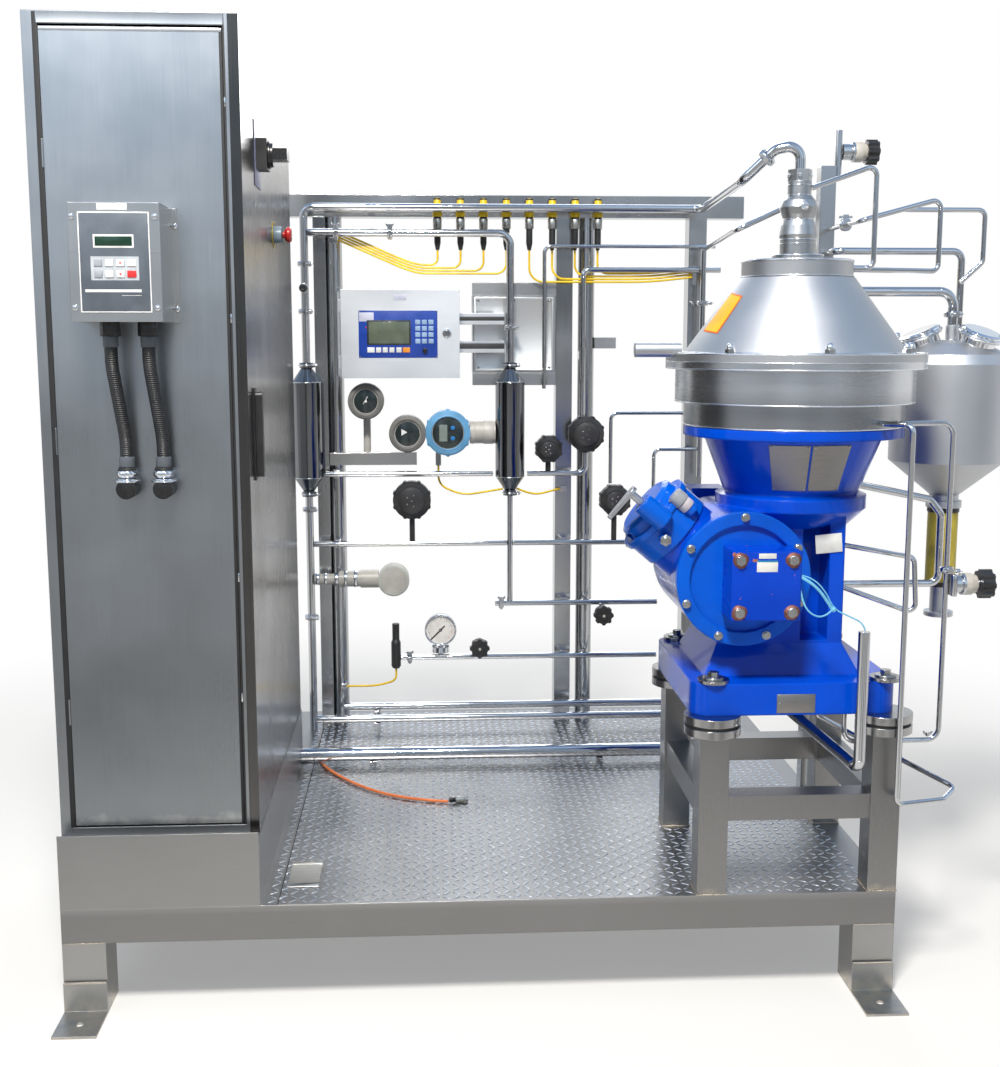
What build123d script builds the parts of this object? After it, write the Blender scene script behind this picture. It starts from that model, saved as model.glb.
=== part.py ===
from build123d import *
import math
import os

os.makedirs("parts", exist_ok=True)

# Clearances between pieces
clear = 0.3
run_fit = 0.05

# Skid frame, legs and deck
skid_length = 1960
skid_depth = 1620
leg_height = 170
leg_size = 100
beam_height = 77
beam_width = 80
cross_beam_width = 60
cross_beam_x = 330
deck_thickness = 6
foot_reach = 120
foot_rise = 75
foot_thickness = 6
foot_hole_r = 9
foot_hole_out = 66
left = -skid_length / 2
right = skid_length / 2
front = -skid_depth / 2
back = skid_depth / 2
beam_top = leg_height + beam_height
deck_top = beam_top + deck_thickness

# Plinth under the cabinet
plinth_width = 458
plinth_depth = 1075
plinth_height = 163
plinth_lip = 14
plinth_sheet = 3

# Control cabinet and its doors
cabinet_width = 456
cabinet_depth = 1026
cabinet_height = 1829
cabinet_setback = 42
cabinet_sheet = 3
door_thickness = 22
door_sheet = 2
door_gap = 5
strip_width = 30
top_lip = 27
front_door_rise = 24
side_opening_margin = 40
side_door_margin = 2
hinge_pin_r = 2.2
hinge_barrel_r = 5
hinge_length = 60
hinge_spread = 620
hinge_leaf = 30
hinge_leaf_thickness = 2
cab_x0 = left
cab_x1 = left + cabinet_width
cab_y0 = front + cabinet_setback
cab_y1 = cab_y0 + cabinet_depth
cab_z0 = deck_top + plinth_height
cab_z1 = cab_z0 + cabinet_height
shell_x1 = cab_x1 - door_thickness - clear
front_door_x0 = cab_x0 + strip_width + door_gap
front_door_x1 = cab_x1 - strip_width - door_gap
front_door_z0 = cab_z0 + front_door_rise
front_door_z1 = cab_z1 - top_lip - door_gap

# Door furniture on the side door
handle_setback = 101
handle_y = cab_y0 + handle_setback
handle_rise = 1009
handle_top = cab_z0 + handle_rise
handle_length = 185
handle_width = 22
handle_depth = 16
handle_plate = 4
handle_plate_margin = 8
isolator_setback = 273
isolator_y = cab_y0 + isolator_setback
isolator_rise = 1569
isolator_z = cab_z0 + isolator_rise
isolator_plate_w = 110
isolator_plate_h = 150
isolator_plate_t = 1.5
isolator_base = 70
isolator_base_depth = 26
isolator_disc_r = 28
isolator_disc_depth = 12
isolator_grip_l = 56
isolator_grip_t = 26
isolator_grip_depth = 34
estop_setback = 588
estop_y = cab_y0 + estop_setback
estop_rise = 1408
estop_z = cab_z0 + estop_rise
estop_ring_r = 33
estop_ring_t = 1.5
estop_collar_r = 20
estop_collar_depth = 22
estop_stem_r = 8
estop_stem_depth = 14
estop_head_r = 20
estop_head_depth = 17
estop_travel = 6

# Drive box on the front door and its conduits
drive_box_shift = -22
drive_box_x = (front_door_x0 + front_door_x1) / 2 + drive_box_shift
drive_box_rise = 1297.5
drive_box_z = cab_z0 + drive_box_rise
drive_box_w = 190
drive_box_h = 245
drive_box_d = 127
drive_flange_over = 13
drive_flange_t = 3
keypad_w = 146
keypad_h = 205
keypad_rise = 1.5
key_size = 17
key_pitch = 23
key_rows_z = -12.5
key_rise = 1.2
conduit_spread = 80
conduit_shift = 15.5
conduit_lean = 10
conduit_run = 40
conduit_bend = 160
conduit_r = 14
conduit_out = 65
gland_r = 21
gland_length = 30
sleeve_r = 16
sleeve_length = 22
elbow_out = 30
elbow_r = 22
elbow_drop = 485.5
elbow_z = drive_box_z - elbow_drop
bulb_r = 23
bulb_length = 26
bulb_taper = 5

# Mounting plate and switchgear inside the cabinet
plate_margin = 60
plate_thickness = 3
gear_depth = 90
gear_row_rise = (1534, 1144, 764, 384)
gear_row_z = [cab_z0 + rise for rise in gear_row_rise]
gear_row_h = 150
gear_width = 110
gear_pitch = 150
gear_count = 5

# Separator axis and stand
axis_inset = 215
axis_x = right - axis_inset
axis_setback = 258
axis_y = front + axis_setback
stand_post = 70
stand_width = 479
stand_left = right - stand_width
stand_depth = 518
stand_front_y = front
stand_rear_y = front + stand_depth
stand_height = 388
stand_top = deck_top + stand_height
stand_rail = 60
stand_rail_rise = 181
stand_rail_z = deck_top + stand_rail_rise
pad_r = 66
pad_plate = 19
pad_rubber_r = 62
pad_rubber = 8
washer_r = 37
washer_thickness = 8
foot_bolt_r = 13
foot_bolt_head = 16

# Machine frame
flange_inset = 10
flange_overhang = 18
flange_left = stand_left - flange_overhang
flange_right = right - flange_inset
flange_front = front + flange_inset
flange_rear = stand_rear_y - flange_inset
flange_thickness = 76
flange_corner = 45
column_reach_left = 205
column_left = axis_x - column_reach_left
column_reach_right = 99
column_right = axis_x + column_reach_right
column_reach_front = 138
column_front = axis_y - column_reach_front
column_reach_rear = 132
column_rear = axis_y + column_reach_rear
column_flare = 70
shoulder_z = 1150
shoulder_r = 182
casing_base_r = 163
casing_base_z = 1189
casing_top_r = 214
casing_top_z = 1320
casing_ring_r = 265
casing_ring_h = 28
casing_wall = 12
arch_inner = 36
arch_width = 66
arch_depth = 80
arch_bottom = 840
arch_top = 1140
spindle_bore_r = 45
gear_offset = 159
gear_x = axis_x - gear_offset
gear_z = 1002
drum_r = 156
drum_reach = 186
drum_front = axis_y - drum_reach
drum_rear = column_rear
chamber_r = 140
chamber_reach = 52
chamber_rear = axis_y + chamber_reach
rear_bore_r = 30

# Gear cover and the block in front of it
cover_r = 158
cover_thickness = 20
cover_step_r = 126
cover_recess = 9
cover_boss_r = 62
cover_boss_depth = 33
cover_bolt_angles = (90, 30, 150, -23, 203, -67, 247)
cover_bolt_pcd = 290
cover_bolt_r = 9
cover_bolt_head = 8
block_size = 160
block_offset = 32
block_x = gear_x + block_offset
block_drop = 2
block_z = gear_z - block_drop
block_reach = 102
block_front = drum_front - block_reach
block_bolt_spacing = 121
block_bolt_r = 12
block_bolt_head = 9

# Brake housing with its louvred cap and lever
brake_offset = 197
brake_x = gear_x - brake_offset
brake_rise = 144
brake_z = gear_z + brake_rise
brake_reach = 88
brake_y = axis_y - brake_reach
brake_tilt = 50
brake_r = 96
brake_length = 76
brake_neck = 170
brake_rim_r = 101
brake_rim = 16
brake_cap_r = 84
brake_cap_length = 30
brake_slot_count = 8
brake_slot_w = 34
brake_slot_h = 16
brake_slot_depth = 14
brake_boss_r = 26
brake_boss_end = 55
brake_boss_out = 102
brake_plug_r = 11
brake_plug_side = -31
brake_plug_along = -40
brake_plug_length = 28
brake_filler_r = 16
brake_filler_side = 62
brake_filler_out = 82
brake_filler_length = 40
lever_pin_r = 9
lever_pin_end = 86
lever_length = 68
lever_palm_r = 17
lever_end_r = 9
lever_thickness = 9
lever_hole_r = 3.5

# Motor and drive shaft
motor_flange_r = 125
motor_flange_t = 16
motor_body_r = 110
motor_fin_root = 99
motor_fin_count = 26
motor_body_length = 270
motor_fan_r = 104
motor_fan_length = 62
motor_box = 92
motor_box_height = 58
motor_box_seat = 12
shaft_r = 24
shaft_inset = 16
shaft_front = drum_front + shaft_inset
shaft_stub = 270
shaft_rear = drum_rear + shaft_stub
wheel_r = 128
wheel_root_r = 120
wheel_width = 40
wheel_hub_r = 42
wheel_hub_width = 64
wheel_teeth = 43
worm_r = 30.5
worm_length = 96
bearing_width = 24
bearing_r = 44.7

# Spindle and bowl
spindle_r = 25
spindle_bottom = 808
spindle_top = 1288
lower_bearing_z = 812
upper_bearing_z = 1156
bowl_r = 226
bowl_inner_r = 210
bowl_bottom = 1232
bowl_floor = 1262
bowl_hub_r = 60
bowl_hub_top = 1300
bowl_rim = 1450
bowl_foot_r = 140
bowl_foot_rise = 8
bowl_knee_r = 190
bowl_knee_z = 1318
bowl_side_z = 1356
bowl_seat_z = 1378
bowl_inner_knee_r = 178
bowl_inner_knee_z = 1334
bowl_floor_r = 130
bowl_floor_rise = 4
port_count = 8
port_width = 34
port_height = 10
port_z = 1388
piston_travel = 4
piston_thickness = 11
piston_gap = 1
piston_swell = 8
distributor_r = 150
distributor_bottom = 1352
distributor_lip = 6
distributor_floor = 1330
feed_hole_z = 1340
distributor_neck_r = 44
distributor_bore_r = 36
distributor_top = 1600
feed_hole_r = 8
feed_hole_count = 6
disc_count = 6
disc_pitch = 17
disc_thickness = 1.6
disc_r = 164
disc_slope = 44.5
bowl_top_r = 196
bowl_top_z = 1462
bowl_neck_r = 76
bowl_neck_z = 1590
bowl_top_wall = 14
bowl_lid_z = 1655
bowl_lid_bore_r = 32
lock_ring_top = 1480
feed_tube_r = 18
feed_tube_wall = 4
feed_tube_bottom = 1345
paring_r = 52
paring_z = 1608
paring_thickness = 14
sleeve_tube_r = 28

# Sludge casing and hood
hood_base_r = 268
hood_rim = 42
hood_flange_top = 1520
casing_flange_r = hood_base_r + hood_rim
casing_flange_t = 17
casing_flange_lip = 24
casing_upper_r = casing_flange_r - casing_flange_lip
casing_step = 22
casing_lower_r = casing_upper_r - casing_step
casing_step_z = 1404
casing_split_z = 1502
hood_shoulder_r = 137
hood_shoulder_z = 1699
hood_cap_r = 132
hood_cap_z = 1741
hood_wall = 5
hood_nut_count = 8
hood_nut_inset = 21
hood_nut_pcd = 2 * (casing_flange_r - hood_nut_inset)
hood_nut_r = 12
hood_nut_height = 24
speed_sensor_r = 17
speed_sensor_length = 88
speed_sensor_sunk = 22
speed_sensor_z = 1529
speed_sensor_offset = 48

# Inlet head on top of the hood
head_foot_r = 60
head_foot_h = 11
head_neck_r = 42.5
head_lower_z = 1790
head_waist_z = 1837
head_upper_z = 1893
head_bulb_r = 45
head_waist_r = 36
head_collar_r = 28
head_collar_z = 1917
head_nut_r = 29
head_nut_z = 1926
head_nut_h = 27
head_top_z = 2013
head_port_r = 9
head_port_rise = 28
head_port_out = 3
tube_r = 12.7
small_tube_r = 6.35
medium_tube_r = 9.5
tube_bend = 38
header_bend = 30
small_bend = 24
tight_bend = 18
cap_tap_drop = 17
casing_tap_z = 1364
drain_bend_r = 13.5

# Pipe rack
rack_inset = 130
rack_y = back - rack_inset
rack_post = 70
rack_left_inset = 410
rack_left = left + rack_left_inset
rack_beam_z = 1943
post_a_inset = 510
post_a_x = left + post_a_inset
post_a_w = 40
post_a_round_offset = 46
post_a_round_x = post_a_x + post_a_round_offset
post_a_round_r = 26
post_b_inset = 653
post_b_x = right - post_b_inset
post_b_w = 54
post_b_round_offset = 75
post_b_round_x = post_b_x + post_b_round_offset
post_b_round_r = 27
post_r_x = axis_x
post_r_w = 58
beam_overhang = 150
tall_post_inset = 31
tall_post_x = right - tall_post_inset
tall_post_setback = 402
tall_post_y = axis_y + tall_post_setback
tall_post_size = 41
tall_post_top = 2011
instrument_beam_offset = 24
instrument_beam_length = 285
instrument_beam_left = post_a_x + instrument_beam_offset
instrument_beam_right = instrument_beam_left + instrument_beam_length
instrument_beam_z = 1143
instrument_beam_h = 41
instrument_beam_d = 40

# Rack lines, by height and reach
line_standoff = 55
line_gap = 8
branch_rise = 68
header_z = 1968
left_union_heights = (1790, 1640)
left_low_union_heights = (1000, 640)
right_union_z = 1590
loop_a_bottom = 1392
loop_a_clip_z = 1420
loop_b_bottom = 1300
loop_b_clip_z = 1500
drop_bottom = 1100
drop_union_z = 1668
valve_branch_bottom = 1080
valve_branch_low = 1192
valve_branch_top = 1312
standoff_offset = 214
post_line_z = 1844
header_overrun = 3
header_right = axis_x + header_overrun
second_z = 1889
left_sensor_offset = 44
left_sensor_x = post_a_x - left_sensor_offset
right_sensor_offset = 182
right_sensor_x = post_b_x - right_sensor_offset
line_1115 = 1115
line_884 = 884
line_680 = 680
line_498 = 498
line_end_x = axis_x - 125
drain_end_x = right - 80
drain_spacing = 40
deck_pipe_end_x = stand_left + 99
drain_z = 331
drain_lower_z = 300
deck_pipe_inset = 610
deck_pipe_y = back - deck_pipe_inset
deck_pipe_z = 290
deck_pipe_r = 21
loop_a_offset = 70
loop_a_x = post_b_x - loop_a_offset
loop_a_z = 1850
loop_b_offset = 57
loop_b_x = post_b_x + loop_b_offset
loop_b_z = 1776
drop_offset = 9
drop_x = post_r_x + drop_offset
drop_top = 1842

# Dosing valve at the left end of the lowest line
dosing_offset = 278
dosing_x = left_sensor_x + dosing_offset
dosing_r = 16
dosing_top = 560
dosing_drop = 36
dosing_plug = 54
plug_body_r = 12

# Flow sensors and instruments
sensor_r = 48
sensor_bottom = 1105
sensor_top = 1415
sensor_cone = 46
clamp_over = 10
clamp_length = 16
clamp_bevel = 3
clamp_lug = 12
clamp_bolt_r = 3
clamp_bolt_length = 34
clip_width = 20
clip_height = 28
standoff_depth = 24
head_depth = 95
head_stem_r = 12
head_spots = ((post_a_x + 147, 1354, 56), (post_a_x + 280, 1249, 58))
display_head_x = post_a_x + 411
display_head_z = 1251
display_head_r = 72
display_body_r = 38
transmitter_z = 767
transmitter_x = left_sensor_x + 274
transmitter_r = 50
transmitter_rods = ((18, 94), (26, 164), (30, 224))
actuators = {
    "left": (post_a_x + 292, 1031, 62),
    "tall": (post_b_x + 67, 1245, 58),
    "small": (post_b_x - 56, 1197, 43),
    "right": (post_b_x + 165, 1026, 50),
}
actuator_depth = 64
actuator_lug_r = 8
actuator_lug_count = 8
actuator_stem_r = 9

# Operator box
op_offset = 74
op_width = 375
op_left = post_a_x + op_offset
op_right = op_left + op_width
op_bottom = 1430
op_top = 1708
op_reach = 145
op_front = rack_y - rack_post / 2 - op_reach
op_depth = 120
op_door_t = 18
op_hinge_r = 4
op_hinge_length = 40
op_hinge_inset = 50
op_lock_inset = 40
op_lock_x = op_right - op_lock_inset
op_lock_z = 1571
op_lock_r = 11
op_rail_h = 37
op_rail_length = 147
op_rail_right = op_right + op_rail_length
op_rail_upper_z = 1599
op_rail_lower_z = 1509
op_rail_d = 40
op_rail_foot = 30
op_sheet = 2
op_lock_depth = 12
op_lock_slot = 14

# Terminal boxes
term_inset = 30
term_width = 272
term_left = post_b_x - term_inset - term_width
term_right = term_left + term_width
term_bottom = 1442
term_top = 1695
term_depth = 90
strut_h = 40
side_bar_length = 71
side_bar_z = 1522

# Pressure gauge on the lowest line
gauge_offset = 427
gauge_x = left_sensor_x + gauge_offset
gauge_z = 593
gauge_r = 52
gauge_depth = 34
gauge_lip = 5
gauge_seal_r = 30
gauge_seal_drop = 76
needle_length = 66
needle_width = 4

# Tank on the right
tank_reach = 269
tank_x = right + tank_reach
tank_setback = 242
tank_y = axis_y + tank_setback
tank_r = 148
tank_bottom = 1236
tank_top = 1490
tank_dome = 62
tank_dome_r = 50
tank_neck_top = 1590
tank_neck_tube_r = 16
tank_cone_z = 1145
tank_neck_r = 38
tank_pipe_z = 1676
tank_port_spots = ((-72, 0), (42, -62))
tank_port_r = 54
tank_port_tilt = 22
tank_clamp_drop = 34
tank_clamp_height = 18
tank_clamp_over = 8
outlet_foot = 12
outlet_r = 24
outlet_sleeve_r = 38
outlet_sleeve_bottom = 909
outlet_bottom = 816

# Sensor plugs under the beam
plug_count = 8
plug_offset = 415
plug_left = post_b_x - plug_offset
plug_pitch = 74.3
plug_r = 12.5
plug_top = 2000
plug_nut_z = 1905
plug_bottom = 1838
plug_rail_z = 1962
plug_rail_h = 22
plug_rail_t = 8
cable_r = 3.5
cable_pitch = 9
cable_rows = 4
cable_run_left = post_a_x + 320
cable_sag_left = 48
cable_slope_left = 55
cable_lift_left = 18
cable_rise_left = 106
cable_seat_left = 15.5
cable_run_right = 165
cable_sag_right = 74
cable_rise_right = 16
cable_seat_right = 21
display_lead_x = -31
display_lead_drop = 111
sensor_lead_out = 23
sensor_lead_z = display_head_z - 187
sensor_lead_sag = 24
post_lead_x = post_b_x - 12
post_lead_z = sensor_lead_z - 6
dosing_lead_drop = 78
dosing_lead_end = 21
cable_clip_over = 8
cable_clip_under = 11
lead_r = 4
lead_connector_over = 5
lead_exit_y = 250

# Derived planes
frame_base_z = stand_top + 2 * pad_plate + pad_rubber
flange_top = frame_base_z + flange_thickness
ring_z = casing_top_z + 4
ring_top = ring_z + casing_ring_h - 4
rack_front = rack_y - rack_post / 2
line_y = rack_front - line_standoff
stand_posts_x = (stand_left + stand_post / 2, right - stand_post / 2)
stand_posts_y = (stand_front_y + stand_post / 2, stand_rear_y - stand_post / 2)


# Hand valves: place of the tube's axis, direction of the knob, reach to the knob
valve_body_r = 21
valve_neck_r = 15
sample_x = tall_post_x + tall_post_size / 2 + medium_tube_r + clear
valve_points = {
    "right": ((right + 129, axis_y - 148, 975), (1, 0, 0), 80),
    "top": ((sample_x, tall_post_y, tall_post_top + 38), (1, 0, 0), 74),
    "left": ((right_sensor_x - 103, line_y + 12, line_498 + 40), (0, -1, 0), 52),
    "rear": ((post_b_x + 127, line_y + 12, line_680 - 35), (0, -1, 0), 52),
}
wheel_sizes = {"right": (35, 30), "top": (33, 30), "left": (33, 22), "rear": (33, 22)}
wheel_lobes = 8


def block(x0, x1, y0, y1, z0, z1):
    """Rectangular solid between two corners."""
    return Pos((x0 + x1) / 2, (y0 + y1) / 2, (z0 + z1) / 2) * Box(x1 - x0, y1 - y0, z1 - z0)


def rod(start, end, radius):
    """Round bar from one point to another."""
    a, b = Vector(start), Vector(end)
    return extrude(Plane(origin=a, z_dir=b - a) * Circle(radius), amount=(b - a).length)


def hexagon(start, direction, radius, length):
    """Hexagon head or nut; the radius reaches its corners."""
    plane = Plane(origin=Vector(start), z_dir=Vector(direction))
    return extrude(plane * RegularPolygon(radius, 6), amount=length)


def turned(profile, x=axis_x, y=axis_y):
    """Solid turned about a vertical axis from (radius, height) points."""
    face = Plane.XZ * make_face(Polyline(*profile, close=True))
    return Pos(x, y, 0) * revolve(face, Axis.Z)


def turned_along(profile, origin, direction):
    """Solid turned about any axis from (radius, distance) points."""
    face = Plane.XZ * make_face(Polyline(*profile, close=True))
    return Plane(origin=Vector(origin), z_dir=Vector(direction)) * revolve(face, Axis.Z)


def toothed(count, root, tip, foot, top):
    """Toothed outline; foot and top give half a tooth's width as shares of the pitch."""
    pitch = 2 * math.pi / count
    outline = []
    for n in range(count):
        for share, radius in ((-foot, root), (-top, tip), (top, tip), (foot, root)):
            angle = (n + share) * pitch
            outline.append((radius * math.cos(angle), radius * math.sin(angle)))
    return make_face(Polyline(*outline, close=True))


def disc_about(x, y, z0, z1, radius):
    """Short upright cylinder."""
    return rod((x, y, z0), (x, y, z1), radius)


def elbow(start, into, out, radius, bend):
    """Tube elbow that turns from one direction to another."""
    normal = into.cross(out).normalized()
    centre = start + normal.cross(into).normalized() * bend
    face = Plane(origin=start, z_dir=into) * Circle(radius)
    return revolve(face, Axis(centre, normal), revolution_arc=into.get_angle(out))


def clamp_ring(near, far, radius):
    """Clamp round a union: a bevelled ring with its lug and swing bolt on the front."""
    direction = (far - near).normalized()
    b = clamp_bevel
    ring = turned_along([(0, 0), (radius - b, 0), (radius, b), (radius, clamp_length - b),
                         (radius - b, clamp_length), (0, clamp_length)], near, direction)
    ahead = Vector(0, -1, 0) if abs(direction.Y) < 0.9 else Vector(0, 0, 1)
    side = (ahead - direction * ahead.dot(direction)).normalized()
    middle = (near + far) / 2
    across = direction.cross(side)
    seat = Plane(origin=middle + side * (radius - b), x_dir=across, z_dir=side)
    lug = extrude(seat * Rectangle(clamp_lug, clamp_lug), amount=clamp_lug)
    bolt_mid = middle + side * (radius + clamp_bolt_r)
    bolt = rod(bolt_mid - across * clamp_bolt_length / 2, bolt_mid + across * clamp_bolt_length / 2,
               clamp_bolt_r)
    return ring + lug + bolt


def straight(start, end, radius, clamps, rings):
    """Tube between two points, parted where clamped unions sit."""
    direction = (end - start).normalized()
    length = (end - start).length
    marks = []
    for clamp in clamps:
        along = (clamp - start).dot(direction)
        offset = (clamp - start - direction * along).length
        if offset < radius and clamp_length < along < length - clamp_length:
            marks.append(along)
    pieces = []
    cursor = start
    for along in sorted(marks):
        near = start + direction * (along - clamp_length / 2)
        far = start + direction * (along + clamp_length / 2)
        pieces.append(rod(cursor, near, radius))
        rings.append(clamp_ring(near, far, radius + clamp_over))
        cursor = far
    pieces.append(rod(cursor, end, radius))
    return pieces


def tube_line(points, radius, bend, clamps=(), rings=None):
    """Tubes and elbows end to end along a list of corner points."""
    rings = [] if rings is None else rings
    marks = [Vector(c) for c in clamps]
    corners = [Vector(p) for p in points]
    solids = []
    start = corners[0]
    for before, corner, after in zip(corners, corners[1:], corners[2:]):
        into = (corner - before).normalized()
        out = (after - corner).normalized()
        setback = bend * math.tan(math.radians(into.get_angle(out)) / 2)
        stop = corner - into * setback
        solids += straight(start, stop, radius, marks, rings)
        solids.append(elbow(stop, into, out, radius, bend))
        start = corner + out * setback
    solids += straight(start, corners[-1], radius, marks, rings)
    return solids


def between(a, b, share):
    """Point a share of the way from one point to another."""
    return tuple(p + (q - p) * share for p, q in zip(a, b))


def clip(x, z, radius, y=None, reach=None):
    """Clip block that holds a tube off the front of the rack."""
    y = line_y if y is None else y
    reach = rack_front if reach is None else reach
    w, h = clip_width / 2, clip_height / 2
    return block(x - w, x + w, y + radius + clear, reach, z - h, z + h)


def tray(x0, x1, y0, y1, z0, z1, sheet, opening):
    """Folded sheet door: a shallow tray that is open on one side."""
    ox, oy = opening
    outer = block(x0, x1, y0, y1, z0, z1)
    inner = block(x0 + sheet * (ox >= 0) - (ox < 0), x1 - sheet * (ox <= 0) + (ox > 0),
                  y0 + sheet * (oy >= 0) - (oy < 0), y1 - sheet * (oy <= 0) + (oy > 0),
                  z0 + sheet, z1 - sheet)
    return outer - inner


def save(name, pieces):
    """Write the solids of one node to its own file."""
    solids = []
    for piece in pieces:
        solids += piece.solids()
    export_step(Compound(solids), os.path.join("parts", name + ".step"))


# Skid

def base_frame():
    y_in0, y_in1 = front + beam_width, back - beam_width
    pieces = [block(left, right, front, y_in0, leg_height, beam_top),
              block(left, right, y_in1, back, leg_height, beam_top),
              block(left, left + beam_width, y_in0, y_in1, leg_height, beam_top),
              block(right - beam_width, right, y_in0, y_in1, leg_height, beam_top)]
    for x in (-cross_beam_x, cross_beam_x):
        pieces.append(block(x - cross_beam_width / 2, x + cross_beam_width / 2,
                            y_in0, y_in1, leg_height, beam_top))
    return pieces


def plinth():
    x1, y1 = left + plinth_width, front + plinth_depth
    body = block(left, x1, front, y1, deck_top, cab_z0)
    lip = block(left, x1, front, front + plinth_sheet, cab_z0, cab_z0 + plinth_lip)
    return [body + lip]


def frame_legs():
    pieces = []
    for x0 in (left, right - leg_size):
        for side in (-1, 1):
            face = side * skid_depth / 2
            inner = face - side * leg_size
            pieces.append(block(x0, x0 + leg_size, min(face, inner), max(face, inner), 0, leg_height))
            toe = face + side * foot_reach
            riser = face + side * foot_thickness
            upright = block(x0, x0 + leg_size, min(face, riser), max(face, riser), 0, foot_rise)
            flat = block(x0, x0 + leg_size, min(face, toe), max(face, toe), 0, foot_thickness)
            hole_y = face + side * foot_hole_out
            hole = disc_about(x0 + leg_size / 2, hole_y, -1, foot_thickness + 1, foot_hole_r)
            pieces.append(upright + flat - hole)
    return pieces


def deck_plate():
    return [block(left, right, front, back, beam_top, deck_top)]


# Cabinet

def cabinet_shell():
    s = cabinet_sheet
    shell = block(cab_x0, shell_x1, cab_y0, cab_y1, cab_z0, cab_z1)
    shell -= block(cab_x0 + s, shell_x1 - s, cab_y0 + s, cab_y1 - s, cab_z0 + s, cab_z1 - s)
    shell -= block(front_door_x0 - door_gap, front_door_x1 + door_gap, cab_y0 - 1, cab_y0 + s + 1,
                   front_door_z0 - door_gap, front_door_z1 + door_gap)
    m = side_opening_margin
    shell -= block(shell_x1 - s - 1, shell_x1 + 1, cab_y0 + m, cab_y1 - m, cab_z0 + m, cab_z1 - m)
    return [shell]


def front_door():
    return [tray(front_door_x0, front_door_x1, cab_y0, cab_y0 + door_thickness,
                 front_door_z0, front_door_z1, door_sheet, (0, 1))]


def main_door():
    m = side_door_margin
    return [tray(cab_x1 - door_thickness, cab_x1, cab_y0, cab_y1 - clear,
                 cab_z0 + m, cab_z1 - m, door_sheet, (-1, 0))]


def hinge_heights():
    middle = (cab_z0 + cab_z1) / 2
    return [middle + n * hinge_spread for n in (-1, 0, 1)]


front_hinge_x = front_door_x0 - door_gap / 2
side_hinge_y = cab_y1 + hinge_barrel_r + clear


def door_hinges():
    pieces = []
    half = hinge_length / 2
    for z in hinge_heights():
        pieces.append(disc_about(front_hinge_x, cab_y0, z - half, z + half, hinge_pin_r))
        barrel = disc_about(shell_x1, side_hinge_y, z - half, z + half, hinge_barrel_r)
        leaf = block(shell_x1 - hinge_leaf, shell_x1, cab_y1, cab_y1 + hinge_leaf_thickness,
                     z - half, z + half)
        bridge = block(shell_x1 - hinge_leaf_thickness, shell_x1, cab_y1, side_hinge_y,
                       z - half, z + half)
        pieces.append(barrel + leaf + bridge)
    return pieces


def switch_bases():
    x = cab_x1
    w, h = isolator_plate_w / 2, isolator_plate_h / 2
    plate = block(x, x + isolator_plate_t, isolator_y - w, isolator_y + w, isolator_z - h, isolator_z + h)
    b = isolator_base / 2
    x_base = x + isolator_plate_t
    base = block(x_base, x_base + isolator_base_depth, isolator_y - b, isolator_y + b,
                 isolator_z - b, isolator_z + b)
    ring = rod((x, estop_y, estop_z), (x + estop_ring_t, estop_y, estop_z), estop_ring_r)
    x_collar = x + estop_ring_t
    collar = rod((x_collar, estop_y, estop_z), (x_collar + estop_collar_depth, estop_y, estop_z),
                 estop_collar_r)
    x_front = x_collar + estop_collar_depth
    bore = rod((x_front - estop_stem_depth - estop_travel - 1, estop_y, estop_z),
               (x_front + 1, estop_y, estop_z), estop_stem_r + clear)
    hw = handle_width / 2 + handle_plate_margin
    handle_base = block(x, x + handle_plate, handle_y - hw, handle_y + hw,
                        handle_top - handle_length - handle_plate_margin,
                        handle_top + hw)
    return [plate, base, ring, collar - bore, handle_base]


def door_handle():
    x = cab_x1 + handle_plate + clear
    grip = block(x, x + handle_depth, handle_y - handle_width / 2, handle_y + handle_width / 2,
                 handle_top - handle_length, handle_top)
    head = rod((x, handle_y, handle_top), (x + handle_depth, handle_y, handle_top), handle_width / 2)
    return [grip + head]


def isolator_knob():
    x = cab_x1 + isolator_plate_t + isolator_base_depth + clear
    disc = rod((x, isolator_y, isolator_z), (x + isolator_disc_depth, isolator_y, isolator_z),
               isolator_disc_r)
    x_grip = x + isolator_disc_depth
    grip = block(x_grip, x_grip + isolator_grip_depth,
                 isolator_y - isolator_grip_l / 2, isolator_y + isolator_grip_l / 2,
                 isolator_z - isolator_grip_t / 2, isolator_z + isolator_grip_t / 2)
    return [disc + grip]


def estop_button():
    x = cab_x1 + estop_ring_t + estop_collar_depth
    x_head = x + estop_travel + clear
    stem = rod((x - estop_stem_depth, estop_y, estop_z), (x_head, estop_y, estop_z), estop_stem_r)
    head = turned_along([(0, 0), (estop_head_r * 0.7, 0), (estop_head_r, estop_head_depth * 0.45),
                         (estop_head_r, estop_head_depth * 0.75), (estop_head_r * 0.8, estop_head_depth),
                         (0, estop_head_depth)], (x_head, estop_y, estop_z), (1, 0, 0))
    return [stem + head]


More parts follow.
